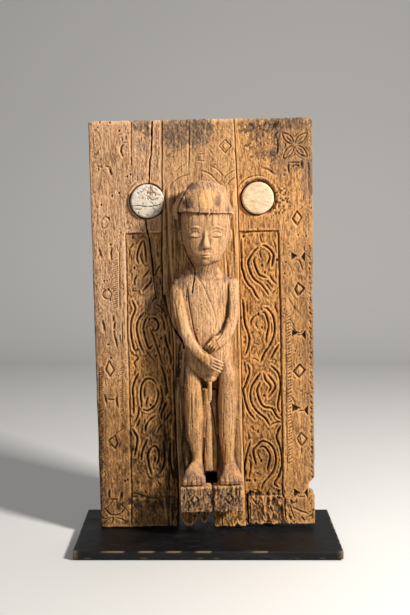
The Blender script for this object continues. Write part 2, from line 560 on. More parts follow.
# The joints as the photograph shows them, as heights and places across the door.
LEFT_SEAM = [
    (0, -60), (117, -60), (300, -64.5), (385, -63), (425, -66), (490, -82.5), (584, -82.7), (710, -79.7),
    (847, -77.4),
]
RIGHT_SEAM = [(0, 80.5), (184, 76), (400, 74.5), (622, 74), (723, 71.8), (847, 67.6)]
STRIP_EDGE = [(0, -57), (117, -57.5), (305, -65), (400, -66), (605, -68.5), (847, -70)]


def left_seam(z):
    """Where the left joint runs, a little wavy."""
    return np.interp(z, *zip(*LEFT_SEAM)) + 0.5 * noise_along(z, 30, 71)


def right_seam(z):
    """Where the right joint runs."""
    return np.interp(z, *zip(*RIGHT_SEAM)) + 0.4 * noise_along(z, 30, 72)


def outer_left(z):
    """The door's left edge."""
    return -HALF_WIDTH + 0.5 + 0.5 * noise_along(z, 25, 73)


def outer_right(z):
    """The door's right edge, with a bite out of it near the foot and a shallow one above."""
    bite = 12 * ramp(z - 66, 5) * ramp(95 - z, 18) + 1.5 * ramp(z - 462, 12) * ramp(520 - z, 60)
    return HALF_WIDTH - 0.5 - 0.5 * noise_along(z, 25, 74) - bite


def head_line(x):
    """The door's ragged head, with a rounded corner on the right and a small one on the left."""
    ragged = 0.8 + 0.7 * noise_along(x, 9, 75) + 0.5 * noise_along(x, 3, 76)
    beyond = np.clip(x - (HALF_WIDTH - CORNER), 0, CORNER)
    right = CORNER - np.sqrt(np.clip(CORNER ** 2 - beyond ** 2, 0, None))
    left = 5 - np.sqrt(np.clip(25 - np.clip(5 - HALF_WIDTH - x, 0, 5) ** 2, 0, None))
    return HEAD - ragged - right - left


def plain_foot(x):
    """The left plank's almost straight foot."""
    return 0.8 + 0.6 * noise_along(x, 8, 77)


# The worn foot of the middle plank, in pixels, and that of the right plank.
MIDDLE_FOOT = [
    (176, 509), (180, 510), (181, 516), (182.5, 520), (185, 523.5), (188, 525.5), (191, 525.6),
    (194, 523.5), (196.5, 519), (197.6, 513), (199, 509), (200.3, 514), (201.6, 519.5), (204, 523),
    (206.6, 521.5), (208.6, 516), (209.6, 509), (213.5, 508), (214.6, 522), (216.4, 528.5), (220, 529.6),
    (230, 529), (232, 527.5), (235, 524.5), (237.5, 521.5), (239, 524), (241.5, 526), (244, 526.5),
    (247, 523), (250, 524),
]
RIGHT_FOOT = [
    (243, 524), (247, 527), (250, 523), (253, 526), (256, 522.5), (260, 525), (264, 524), (270, 525),
    (274, 527), (286, 527), (292, 527), (296, 523.5), (304, 526), (316, 524.5),
]


def foot_through(pixels):
    """The lower end of a plank, as a function of the place across the door."""
    across, up = zip(*sorted(spot(u, v) for u, v in pixels))
    return lambda x: np.maximum(np.interp(x, across, up), 0.4) + 0.3 * noise_along(x, 3, 78)


def edge_at(pixels, z):
    """Where a line through pixels lies across the door, at the given heights."""
    line = traced(pixels)[::-1]
    return np.interp(z, line[:, 1], line[:, 0])


def carve_field(c, outer, scrolls, fine, spots, seed):
    """Sinks one scroll field, cuts its lines and lets low ribbons flow along them."""
    c.cuts([(5.0, 1.8, scrolls), (3.0, 1.4, fine)])
    c.pits(spots, 2.4, 3.8, 3.4)
    wave = np.cos(2 * math.pi * c.ribbon / RIBBON_WIDTH) * near(c.ribbon, 7.5)
    rough = 0.8 * c.noise(7, 13, seed) + 0.6 * c.noise(3.4, 6, seed + 1)
    inside = ramp(outer, 2.5) * ramp(c.z - FIELD_FOOT, 2.5) * ramp(FIELD_TOP - c.z, 2.5)
    c.depth += inside * (3.4 + 1.9 * wave + rough)
    c.dirt += inside * (0.12 + 0.10 * np.clip(wave, 0, 1) + 0.12 * c.noise(14, 26, seed + 2))
    return inside


def notch(c, u, v, across, down, deep, soft=1.0, taper=3):
    """A short straight cut from a pixel, which runs across and down by some pixels."""
    c.groove(traced([(u, v), (u + across, v + down)], steps=1), deep, soft, taper)


def carve_left(c):
    """The left plank: scroll field, combed border, half the work round its inlay, and the long crack."""
    inside = carve_field(c, c.x - edge_at(LEFT_EDGE, c.z), LEFT_SCROLLS, LEFT_FINE, LEFT_SPOTS, 11)
    c.groove(traced(LEFT_EDGE + [LEFT_EDGE_FOOT]), 3.4, 1.6, 0)
    c.groove(traced(LEFT_LINE), 2.4, 1.2, 0)
    c.cuts(LEFT_CUTS)
    c.ring(*LEFT_RING, 2.8, 1.6)
    for diamond in LEFT_DIAMONDS:
        c.diamond(*diamond)
    c.pits(LEFT_BOSS, 3.0, 3.6, -1.0)
    c.pits(LEFT_PITS, 2.2, 2.6, 3.6)
    # Short strokes between the border's lines, and the notches along its two edges.
    u, start, step, count = LEFT_STROKES
    for i in range(count):
        v, slip = start + step * i, math.sin(3.1 * i)
        notch(c, u + slip, v + 1.3, 4.8 - slip, -1.8, 1.9)
    u, start, step, count = LEFT_NOTCHES
    for i in range(count):
        v, slip = start + step * i, 0.5 * math.sin(3.7 * i)
        notch(c, u + slip + v / 400, v + 1.0, 3.6, -1.7, 2.7, 1.1)
        if v < INNER_END:
            notch(c, INNER_NOTCHES + slip, v + 0.8, 3, -1.4, 2.0)
    c.seat(*LEFT_INLAY)
    c.arc(*LEFT_ARC, 1.3, 1.8)
    c.cracks(LEFT_CRACKS)
    c.depth += 2.6 * near(c.distance(traced(CRACK_SLOPE), 24), 7) * (1 + 0.6 * c.noise(4, 9, 37))
    c.grey += 1.1 * near(c.distance(traced(CRACK_PALE), 12), 2.6)
    # Ground beside the joint falls away towards it.
    to_joint = left_seam(c.z) - c.x
    c.dirt += 0.7 * ramp(3.2 - to_joint, 4)
    c.depth += 1.6 * ramp(3 - to_joint, 4)
    c.depth += 3.5 * np.clip(1 - to_joint / 16, 0, 1) * ramp(FIELD_TOP - c.z, 40)
    bruise = c.patch("bruise")
    c.grey += 0.5 * bruise
    c.dirt += 0.08 * bruise
    c.weather(20, 1.2 + 0.1 * inside)
    # Grey and soot at the head, the foot and the outer edge.
    speckle = 0.75 + 0.5 * c.noise(2.4, 3.0, 38)
    c.grey += speckle * (0.9 * c.patch("left_head_grey") + 0.6 * c.patch("left_crack_grey"))
    c.dirt += 0.25 * speckle * c.patch("left_head_soot")
    soot = 0.7 + 0.6 * c.noise(7, 12, 35) + 0.4 * c.noise(2.6, 3.5, 39)
    even_soot = 0.4 + 0.45 * soot
    c.dirt += even_soot * (0.5 * c.patch("left_foot_soot") + 0.3 * c.patch("left_corner_soot"))
    c.dirt += even_soot * 0.3 * c.patch("left_low_soot")
    c.grey += speckle * (0.35 * c.patch("left_foot_grey") + 0.25 * c.patch("left_border_grey"))
    c.grey += 0.25 * soot * c.patch("left_edge_grey")
    c.dirt += 0.22 * ramp(-212 - c.x, 14) * ramp(560 - c.z, 160) * soot + 0.4 * ramp(-221 - c.x, 9)
    c.warm += 0.7 * inside + 0.9 * ramp(330 - c.z, 240)
    low_down = ramp(250 - c.z, 160) * ramp(c.z - 40, 40)
    c.dirt += even_soot * ((1 - inside) * (0.2 * ramp(480 - c.z, 120) + 0.06 * low_down) + 0.25 * low_down)
    c.dirt -= 0.16 * inside * ramp(c.z - 330, 40) * ramp(480 - c.z, 40)
    by_joint = ramp(c.x + 90, 14) * ramp(600 - c.z, 60)
    streaks = 0.6 * c.noise(3.6, 34, 52) + 0.5 * c.noise(3, 9, 53)
    c.depth += 2.2 * by_joint * streaks
    c.dirt += 0.16 * inside * soot + by_joint * (0.12 + 0.65 * streaks)


def carve_rim(c):
    """The worn rim of the right inlay's seat: a dark hollow above and to its right, with a chipped lip."""
    x, z, diameter = RIGHT_INLAY
    c.seat(x, z, diameter)
    around = np.hypot(c.x - x, c.z - z)
    open_side = ramp(c.x - 100 + 0.9 * (c.z - 690), 26)
    hollow = open_side * near(around - 36 - 1.5 * c.noise(6, 6, 64), 3.4)
    c.depth += 3.2 * hollow - 1.2 * open_side * near(around - 42, 2.6) * (0.7 + 1.2 * c.noise(4, 4, 69))
    c.dirt += 0.6 * hollow * (0.8 + 0.5 * c.noise(3, 4, 65))
    c.grey += 0.6 * hollow
    c.arc(*RIM_ARC, 1.6, 1.5)
    c.grooves([RIM_CUT], 4.4, 1.8)
    chips, broken = c.patch("rim_chips"), c.noise(3.4, 4, 58)
    c.depth += 2.6 * chips * np.clip(broken, -0.4, 1)
    c.dirt += 0.35 * chips * np.clip(broken + 0.1, 0, 1)


def carve_right(c):
    """The right plank: scroll field, twisted band, diamonds and crosses, flower and charred head."""
    inside = carve_field(c, edge_at(RIGHT_EDGE, c.z) - c.x, RIGHT_SCROLLS, RIGHT_FINE, RIGHT_SPOTS, 41)
    c.groove(traced(RIGHT_EDGE), 3.8, 1.7, 0)
    c.cuts(RIGHT_CUTS)
    for chip in CROSSES:
        c.chip(*chip, 4.2)
    for diamond in RIGHT_DIAMONDS:
        c.diamond(*diamond)
    c.pits(RIGHT_PITS, 1.8, 2.1, 2.8)
    # The twisted band beside the field: a low round bar with slanting cuts.
    band_x = c.x - edge_at(BAND, c.z)
    c.depth -= 1.0 * np.exp(-(band_x / 3.4) ** 4) * ramp(420 - c.z, 30) * ramp(c.z - 90, 60)
    at_u, at_v, slope, start, step, count = TWISTS
    for i in range(count):
        v = start + step * i + 0.5 * math.sin(5.1 * i)
        u = at_u + slope * (v - at_v) + 0.4 * math.sin(2.4 * i)
        notch(c, u - 1.7, v + 1.0, 3.4, -1.9, 3.3 - 0.03 * i + 0.8 * math.sin(3.3 * i), 1.2)
    # The notched line at the outer edge.
    at_u, at_v, slope, start, step, count = RIGHT_NOTCHES
    for i in range(count):
        v = start + step * i + 1.1 * math.sin(4.3 * i)
        u = at_u + slope * (v - at_v) + 0.5 * math.sin(1.7 * i)
        notch(c, u - 0.6, v - 0.8, 1.3, 2.0, 2.4 + 1.4 * math.sin(2.9 * i), 1.3, 2)
        if i % 2:
            notch(c, u + 0.5, v, 2.7, -0.6, 1.8, 1.0, 2)
    for tip in FLOWER_TIPS:
        c.leaf(*FLOWER, *tip, 3.4, 3.2, 1.3)
    # The eaten patch and the bracket beside it, the charred head and the grey edge.
    speckle = 0.7 + 0.6 * c.noise(2.4, 3.0, 66) + 0.4 * c.noise(7, 9, 67)
    eaten, charred, corner = (c.patch(name) for name in ("eaten", "right_charred", "right_corner"))
    c.depth += eaten * (1.0 + 0.8 * c.noise(5, 7, 52) + 0.5 * c.noise(2.4, 3, 50))
    c.grooves(BRACKET, 2.6, 1.5)
    c.grey += 0.5 * eaten * speckle + 0.8 * charred * speckle + 0.65 * corner * (0.6 + 0.4 * speckle)
    c.dirt += speckle * (0.32 * eaten + 0.3 * charred + 0.22 * corner)
    c.grey += 0.8 * c.patch("right_edge_grey") + 0.35 * c.patch("right_edge_low")
    carve_rim(c)
    # The ragged foot of the field, with its dark hollow, slot and crack.
    eroded, torn = c.patch("eroded"), c.noise(6, 16, 62)
    c.depth += 3.0 * eroded * (0.9 + 1.1 * torn + 0.6 * c.noise(3, 5, 68))
    c.dirt += 0.32 * eroded * (0.8 + 1.3 * torn)
    c.cracks(FOOT_CRACKS)
    c.grooves(FOOT_CUTS, 3.4, 1.5)
    c.dirt += 0.8 * ramp(1.6 - (c.x - right_seam(c.z)), 3)
    c.weather(60, 1.25)
    c.dirt += 0.03 + 0.25 * ramp(c.x - 221, 8) + 0.16 * ramp(76 - c.z, 50) * speckle
    half_way = ramp(590 - c.z, 60) * ramp(c.z - 330, 60)
    c.dirt += speckle * (0.3 * inside * ramp(215 - c.z, 80) + 0.22 * (1 - inside) * half_way)
    c.warm += 0.8 + 0.2 * inside


def carve_middle(c):
    """The proud strip behind the figure, with its steps, arcs and cracks."""
    x, z = c.x, c.z
    proud = ramp(STRIP_TOP + 9 * noise_along(x, 22, 81) - z, 26)
    step = ramp(x - np.interp(z, *zip(*STRIP_EDGE)) - 2.5 * c.noise(9, 40, 82), 4.5)
    ledge, beside = (1 - step) * proud, proud * step
    ledge_tone = 0.5 + 0.6 * c.noise(3.4, 40, 70) + 0.4 * c.noise(3, 9, 72)
    c.depth += 1.2 * ledge * (1 + c.noise(3.2, 30, 73)) - STRIP_PROUD * beside
    c.dirt += 0.2 * ledge * np.clip(1.9 * ledge_tone - 0.6, 0, 1.6)
    # Adze strokes beside the head and down the strip.
    strokes = noise(x + 0.03 * z, z, 6.5, 85, 83) + 0.6 * c.noise(3.2, 38, 84)
    c.depth += beside * (0.9 + 1.5 * strokes)
    c.cut = np.maximum(c.cut, 4.2 * beside * np.clip(c.noise(4.2, 60, 85) - 0.25, 0, 1))
    # The square mortise between the feet.
    hole = ramp(MORTISE_HALF - np.abs(x - MORTISE_X), 1.4)
    hole *= ramp(z - MORTISE_FOOT, 1.4) * ramp(MORTISE_TOP - z, 1.4)
    c.depth = c.depth * (1 - hole) + (MORTISE_DEEP - STRIP_PROUD) * hole
    c.dirt += hole
    c.split(traced(JAW_CRACK, STRIP_Y), 4, 1.3)
    c.split(traced(GASH), 13, 2.4)
    hollow = near(c.distance(traced(ELBOW_HOLLOW), 26), 7.5) * (0.6 + 0.4 * ramp(z - 325, 40))
    mottled = 1 + 0.5 * c.noise(3.2, 6, 97) + 0.4 * c.noise(6, 22, 98)
    by_gash = near(c.distance(traced(GASH[:5]), 30), 7)
    c.depth += 7 * hollow * (0.55 + 0.45 * mottled) + 5 * by_gash
    c.dirt += 0.55 * hollow * mottled + 0.25 * by_gash
    # Lines and arcs above the cap, and the diamond.
    for diamond in MIDDLE_DIAMONDS:
        c.diamond(*diamond)
    c.cuts(MIDDLE_CUTS)
    charred = c.patch("middle_charred")
    speckle = 0.8 + 0.4 * c.noise(2.4, 3.0, 91) + 0.3 * c.noise(8, 10, 92)
    c.grey += 1.1 * charred * speckle
    c.dirt += 0.2 * charred * speckle
    c.depth += 0.8 * charred * c.noise(3, 4, 88)
    c.weather(90, 0.95)
    # The shaded left of the strip is streaked and sooty.
    shade = beside * ramp(-30 - x, 20) * ramp(z - 60, 30)
    c.depth += 1.4 * shade * noise(x + 0.05 * z, z, 4.5, 50, 93)
    sooty = 0.75 * c.noise(3.6, 60, 89) + 0.35 * c.noise(8, 22, 86)
    c.dirt += shade * (sooty + 0.33 * ramp(360 - z, 160) - 0.12)
    # The lobes under the pedestal are rough and dark, with rubbed rims.
    lobes = ramp(54 - z, 4)
    rim = ramp(z - np.interp(x, *zip(*sorted(spot(u, v) for u, v in MIDDLE_FOOT))) - 7, 8)
    torn = c.noise(4, 12, 94) + 0.6 * c.noise(2.4, 4, 99)
    c.depth += lobes * (2.6 * rim + 1.3 * torn)
    c.dirt += lobes * rim * (0.34 + 0.3 * torn)
    c.warm += 0.1 + 0.5 * lobes + 0.3 * ramp(x - 20, 40) + 0.2 * ramp(640 - z, 60)


def back_relief(x, z, seed):
    """Broad adze scallops on the unseen back."""
    return np.clip(0.7 + 0.5 * noise(x, z, 26, 60, seed) + 0.3 * noise(x, z, 8, 120, seed + 1), 0, 1.6)


def quads(grid):
    """Faces between neighbouring rows and columns of a grid of point numbers."""
    a, b, c, d = grid[:-1, :-1], grid[:-1, 1:], grid[1:, 1:], grid[1:, :-1]
    return np.stack([a, b, c, d], axis=-1).reshape(-1, 4).tolist()


COLUMNS, ROWS, BACK_COLUMNS, SIDE_STEPS = 144, 560, 12, 7
# The back has fewer columns than the face: this many of the face's to one of its own.
EVERY = COLUMNS // BACK_COLUMNS
# How far the points of the sides and ends lie from the face towards the back, from 0 to 1.
SINK = np.linspace(0, 1, SIDE_STEPS + 1)[None, 1:-1]
# How grey, dirty and warm the end grain is.
END_TONES = (0.35, 0.2, 0.3)


def side_points(x, y, z, back_y, col, seed):
    """One side of a plank, a little hollow between its face and its back."""
    side_z = z[:, col:col + 1] + 0 * SINK
    side_y = y[:, col:col + 1] + (back_y[:, -1 if col else 0][:, None] - y[:, col:col + 1]) * SINK
    wavy = 0.7 + 0.4 * noise(side_y, side_z, 14, 50, seed + 9)
    uneven = np.sin(np.pi * SINK) * (wavy + 0.3 * noise(side_y, side_z, 6, 16, seed + 10))
    return x[:, col:col + 1] + (-uneven if col else uneven), side_y, side_z


def end_points(x, y, z, back_y, inward, seed):
    """Rows of points across one end of a plank, a little uneven, from its front edge to its back one."""
    back_y = np.interp(np.arange(COLUMNS + 1), np.arange(0, COLUMNS + 1, EVERY), back_y)[1:-1]
    x, y, z = x[1:-1], y[1:-1], z[1:-1]
    rows = []
    for sink in SINK[0]:
        row_y = y + (back_y - y) * sink
        row_z = z + inward * (1 + noise(x, row_y, 2.5, 7, seed + 6))
        rows.append(np.stack([x, row_y, row_z], axis=-1))
    return rows


def plank_points(left, right, foot, carve, seed):
    """Points, faces and tones of one plank, a closed skin wrapped from its face round to its back."""
    t = np.linspace(0, 1, COLUMNS + 1)[None, :]
    s = np.linspace(0, 1, ROWS + 1)[:, None]

    def across(z):
        return left(z) + (right(z) - left(z)) * t

    low, high = foot(across(0 * t)), head_line(across(0 * t + HEAD))
    z = low + (high - low) * s
    x = across(z)
    c = Carving(x, z)
    carve(c)
    edge = np.minimum(np.minimum(x - left(z), right(z) - x), np.minimum(z - low, high - z))
    arris = 2.4 + 1.0 * noise(x, z, 14, 22, seed)
    drop = arris - np.sqrt(np.clip(arris ** 2 - np.clip(arris - edge, 0, arris) ** 2, 0, None))
    y = FACE_Y + c.depth + c.cut - c.lip * (c.cut < 1) + drop
    back_x, back_z = x[:, ::EVERY], z[:, ::EVERY]
    back_edge = np.minimum(np.minimum(back_x - left(back_z), right(back_z) - back_x), 3)
    back_y = BACK_Y - back_relief(back_x, back_z, seed + 3) - (3 - back_edge) ** 2 / 8
    to_back, to_face = (side_points(x, y, z, back_y, col, seed) for col in (COLUMNS, 0))
    loop_x, loop_y, loop_z = (
        np.hstack([face, right_side, back[:, ::-1], left_side[:, ::-1]])
        for face, right_side, back, left_side in zip((x, y, z), to_back, (back_x, back_y, back_z), to_face)
    )
    numbers = np.arange(loop_x.size).reshape(loop_x.shape)
    faces = quads(np.hstack([numbers, numbers[:, :1]]))
    points = [np.stack([loop_x, loop_y, loop_z], axis=-1).reshape(-1, 3)]
    # Sides and back are greyer and sootier than the face.
    around, up = loop_x[:, COLUMNS + 1:] + loop_y[:, COLUMNS + 1:], loop_z[:, COLUMNS + 1:]
    greyed = 0.4 + 0.45 * noise(around, up, 18, 90, seed + 7) + 0.3 * noise(around, up, 7, 24, seed + 11)
    sooty = np.clip(0.14 + 0.24 * noise(around, up, 9, 60, seed + 8) + 0.2 * ramp(120 - up, 120), 0, 1)
    beyond = (greyed, sooty, np.full(up.shape, END_TONES[2]))
    tones = [[np.hstack(pair).ravel()] for pair in zip((c.grey, c.dirt, c.warm), beyond)]
    total = numbers.size
    for row, inward in ((0, 0.5), (ROWS, -0.5)):
        front, right_side, back, left_side = np.split(
            numbers[row], np.cumsum([COLUMNS + 1, SIDE_STEPS - 1, BACK_COLUMNS + 1]))
        lines = [front]
        rows = end_points(x[row], y[row], z[row], back_y[row], inward, seed)
        for first, inner, last in zip(left_side[::-1], rows, right_side):
            lines.append(np.concatenate([[first], np.arange(total, total + len(inner)), [last]]))
            total += len(inner)
            points.append(inner)
            for tone, value in zip(tones, END_TONES):
                tone.append(np.full(len(inner), value))
        faces += quads(np.array(lines))
        # Each column of the back meets several of the end's.
        for k, (right_end, left_end) in enumerate(zip(back[::-1][1:], back[::-1])):
            faces.append(lines[-1][k * EVERY:(k + 1) * EVERY + 1].tolist() + [int(right_end), int(left_end)])
    return np.vstack(points), faces, [np.concatenate(tone) for tone in tones]


# Skins, tones and pieces.

def edges_of(mesh):
    pairs = np.empty(len(mesh.edges) * 2, dtype=np.int32)
    mesh.edges.foreach_get("vertices", pairs)
    return pairs.reshape(-1, 2)


def relax(points, pairs, rounds, amount=0.6):
    """Points drawn towards the average of their neighbours."""
    count = len(points)
    a, b = pairs[:, 0], pairs[:, 1]
    share = np.maximum(np.bincount(a, minlength=count) + np.bincount(b, minlength=count), 1)[:, None]
    for _ in range(rounds):
        total = np.stack([
            np.bincount(a, points[b, k], count) + np.bincount(b, points[a, k], count) for k in range(3)
        ], axis=-1)
        points = points + amount * (total / share - points)
    return points


def read_points(mesh, kind="co"):
    """A mesh's points, or another vector that each of them has."""
    values = np.empty(len(mesh.vertices) * 3)
    mesh.vertices.foreach_get(kind, values)
    return values.reshape(-1, 3)


def normals_of(mesh):
    return read_points(mesh, "normal")


def write_points(mesh, points):
    mesh.vertices.foreach_set("co", np.ascontiguousarray(points).ravel())
    mesh.update()


def hollows(mesh):
    """How far each point lies in a hollow, fine and broad, around 0.5 on the level."""
    points, pairs, normals = read_points(mesh), edges_of(mesh), normals_of(mesh)
    value = 0
    for rounds, size in ((4, 0.00035), (30, 0.0016)):
        lift = np.sum((relax(points, pairs, rounds) - points) * normals, axis=1)
        value = value + np.clip(lift / size, -1, 1)
    return np.clip(0.5 + 0.3 * value, 0, 1)


def new_mesh(name, points, faces, weld=0):
    """A mesh with its faces turned outwards, and points closer than weld made one."""
    mesh = bpy.data.meshes.new(name)
    mesh.from_pydata(points.tolist(), [], faces)
    work = bmesh.new()
    work.from_mesh(mesh)
    if weld:
        bmesh.ops.remove_doubles(work, verts=work.verts, dist=weld)
    bmesh.ops.recalc_face_normals(work, faces=work.faces)
    work.to_mesh(mesh)
    work.free()
    mesh.shade_smooth()
    return mesh


def add_piece(name, mesh, material, body, slot, stands_for, grey=0, dirt=0, warm=0, worn=0):
    """Puts a mesh in the scene for some nodes, with its tones: hollow, grey and dirt in one, and warmth."""
    count = len(mesh.vertices)
    tone = np.ones((count, 4))
    for channel, value in enumerate((hollows(mesh) - worn, grey, dirt)):
        tone[:, channel] = np.clip(value, 0, 1)
    mesh.attributes.new("tone", "FLOAT_COLOR", "POINT").data.foreach_set("color", tone.ravel())
    warmth = np.clip(warm + np.zeros(count), 0, 1)
    mesh.attributes.new("warmth", "FLOAT", "POINT").data.foreach_set("value", warmth)
    piece = bpy.data.objects.new(name, mesh)
    bpy.context.scene.collection.objects.link(piece)
    mesh.materials.append(material)
    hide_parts(*stands_for)
    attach(piece, body)


# Materials.

def srgb(red, green, blue):
    """A colour written as 0 to 255 in the usual screen values, as the linear one."""
    shares = [v / 255 for v in (red, green, blue)]
    return (*[v / 12.92 if v <= 0.04 else ((v + 0.055) / 1.055) ** 2.4 for v in shares], 1.0)


class Shader:
    """A material's nodes, with short calls for the few kinds that are used here."""

    def __init__(self, name):
        self.material = bpy.data.materials.new(name)
        self.material.use_nodes = True
        self.tree = self.material.node_tree
        self.surface = self.tree.nodes["Principled BSDF"]
        self.place = self.tree.nodes.new("ShaderNodeTexCoord").outputs["Object"]

    def link(self, value, socket):
        if isinstance(value, (int, float, tuple)):
            socket.default_value = value
        else:
            self.tree.links.new(value, socket)

    def noise(self, stretch, detail=4, rough=0.6):
        shift = self.tree.nodes.new("ShaderNodeMapping")
        shift.inputs["Scale"].default_value = stretch
        self.tree.links.new(self.place, shift.inputs["Vector"])
        texture = self.tree.nodes.new("ShaderNodeTexNoise")
        texture.inputs["Scale"].default_value = 1
        texture.inputs["Detail"].default_value = detail
        texture.inputs["Roughness"].default_value = rough
        self.tree.links.new(shift.outputs["Vector"], texture.inputs["Vector"])
        return texture.outputs["Fac"]

    def range(self, value, low, high, to_low=0.0, to_high=1.0):
        node = self.tree.nodes.new("ShaderNodeMapRange")
        for socket, setting in zip(node.inputs, (value, low, high, to_low, to_high)):
            self.link(setting, socket)
        return node.outputs["Result"]

    def math(self, kind, a, b):
        node = self.tree.nodes.new("ShaderNodeMath")
        node.operation = kind
        self.link(a, node.inputs[0])
        self.link(b, node.inputs[1])
        return node.outputs[0]

    def mix(self, factor, a, b, kind="MIX"):
        node = self.tree.nodes.new("ShaderNodeMix")
        node.data_type = "RGBA"
        node.blend_type = kind
        self.link(factor, node.inputs[0])
        self.link(a, node.inputs[6])
        self.link(b, node.inputs[7])
        return node.outputs[2]

    def tone(self):
        node, warmth = (self.tree.nodes.new("ShaderNodeAttribute") for _ in range(2))
        node.attribute_name, warmth.attribute_name = "tone", "warmth"
        parts = self.tree.nodes.new("ShaderNodeSeparateColor")
        self.tree.links.new(node.outputs["Color"], parts.inputs["Color"])
        return parts.outputs["Red"], parts.outputs["Green"], parts.outputs["Blue"], warmth.outputs["Fac"]

    def finish(self, color, roughness, height=None, depth=0.0004, strength=0.5, specular=0.35):
        self.link(color, self.surface.inputs["Base Color"])
        self.link(roughness, self.surface.inputs["Roughness"])
        self.surface.inputs["Specular IOR Level"].default_value = specular
        if height is not None:
            bump = self.tree.nodes.new("ShaderNodeBump")
            bump.inputs["Strength"].default_value = strength
            bump.inputs["Distance"].default_value = depth
            self.tree.links.new(height, bump.inputs["Height"])
            self.tree.links.new(bump.outputs["Normal"], self.surface.inputs["Normal"])
        return self.material

    def layer(self, color, value, low, high, most, tint):
        """Another colour over the first, rising to most while value goes from low to high."""
        return self.mix(self.range(value, low, high, 0, most), color, srgb(*tint))


def old_wood(name, pale, middle, dark, grey, toned=True, grain=(1, 1, 0.03)):
    """Weathered wood with its grain along the thin direction of the given stretch."""
    s = Shader(name)

    def grained(scale, least, detail, rough):
        return s.noise(tuple(scale * max(g, least) for g in grain), detail, rough)

    long_grain, fine_grain = grained(480, 0, 5, 0.65), grained(1400, 0, 3, 0.6)
    streaks, clouds = grained(110, 0, 4, 0.6), grained(55, 0.5, 4, 0.62)
    mottle, grit = grained(170, 0.3, 6, 0.72), grained(620, 0.35, 3, 0.7)
    blotches = s.noise((13, 13, 9), 6, 0.68)
    color = s.layer(srgb(*middle), streaks, 0.35, 0.68, 1, pale)
    for layer in (
        (clouds, 0.52, 0.66, 0.4, pale), (clouds, 0.47, 0.34, 0.42, dark),
        (blotches, 0.47, 0.70, 0.45, grey),
        (long_grain, 0.60, 0.40, 0.30, dark), (fine_grain, 0.44, 0.30, 0.4, dark),
        (mottle, 0.49, 0.33, 0.72, dark), (mottle, 0.52, 0.66, 0.75, pale),
        (grit, 0.44, 0.30, 0.55, dark),
    ):
        color = s.layer(color, *layer)
    if toned:
        hollow, greyed, dirt, warm = s.tone()
        color = s.layer(color, hollow, 0.47, 0.18, 0.72, pale)
        color = s.mix(warm, color, srgb(250, 234, 188), "MULTIPLY")
        patchy_grey = s.math("MULTIPLY", greyed, s.range(mottle, 0.36, 0.56, 1.0, 0.6))
        color = s.mix(patchy_grey, color, srgb(*grey))
        color = s.layer(color, hollow, 0.54, 0.95, 0.74, dark)
        color = s.layer(color, dirt, 0.04, 1, 0.95, tuple(0.30 * v for v in dark))
    height = s.math("MULTIPLY", long_grain, 0.35)
    for texture, share in ((fine_grain, 0.2), (grit, 0.6), (mottle, 0.9)):
        height = s.math("ADD", height, s.math("MULTIPLY", texture, share))
    return s.finish(color, s.range(blotches, 0.3, 0.7, 0.58, 0.8), height, 0.0015, 0.85, 0.22)


def disc_material():
    """Cream ceramic with brown stains in its pits and cracks."""
    s = Shader("white_disc")
    hollow, grey, dirt, warm = s.tone()
    cloud = s.noise((60, 60, 60), 5, 0.65)
    speck = s.noise((420, 420, 420), 4, 0.6)
    color = s.layer(srgb(236, 224, 206), cloud, 0.4, 0.7, 1, (216, 196, 168))
    color = s.mix(warm, color, s.layer(srgb(238, 214, 178), cloud, 0.4, 0.65, 1, (224, 194, 150)))
    color = s.layer(color, speck, 0.6, 0.75, 0.5, (186, 150, 104))
    color = s.mix(grey, color, srgb(158, 112, 66))
    color = s.layer(color, hollow, 0.55, 0.9, 0.7, (122, 88, 56))
    color = s.mix(dirt, color, srgb(62, 42, 26))
    return s.finish(color, s.range(cloud, 0.3, 0.7, 0.34, 0.55), speck, 0.0004, 0.4, 0.4)


def base_material():
    """Black lacquered board with dust, faint scratches and edges rubbed through."""
    s = Shader("black_base")
    worn = s.tone()[1]
    dust = s.noise((26, 40, 40), 5, 0.7)
    scratch = s.noise((14, 420, 420), 3, 0.5)
    color = s.layer(srgb(8, 9, 12), dust, 0.45, 0.75, 1, (25, 27, 30))
    color = s.layer(color, scratch, 0.66, 0.74, 0.5, (88, 84, 78))
    color = s.mix(worn, color, srgb(150, 128, 100))
    rough = s.range(dust, 0.35, 0.7, 0.46, 0.7)
    return s.finish(color, rough, s.noise((900, 900, 900), 2), 0.0001, 0.3, 0.28)


def metal_material(name, color, rubbed, rough, metallic):
    """Metal under a thin uneven finish, with lighter rubbed spots."""
    s = Shader(name)
    cloud = s.noise((70, 70, 70), 5, 0.65)
    grit = s.noise((900, 900, 900), 3, 0.6)
    s.surface.inputs["Metallic"].default_value = metallic
    mixed = s.layer(srgb(*color), cloud, 0.55, 0.72, 0.6, rubbed)
    return s.finish(mixed, s.range(cloud, 0.3, 0.7, rough, rough + 0.2), grit, 0.00015, 0.4, 0.5)


def rubber_material():
    """Dull black rubber with a fine grit."""
    s = Shader("pad_rubber")
    grit = s.noise((700, 700, 700), 3, 0.6)
    color = s.layer(srgb(34, 34, 35), grit, 0.4, 0.7, 1, (58, 57, 55))
    return s.finish(color, 0.85, grit, 0.0003, 0.5, 0.2)


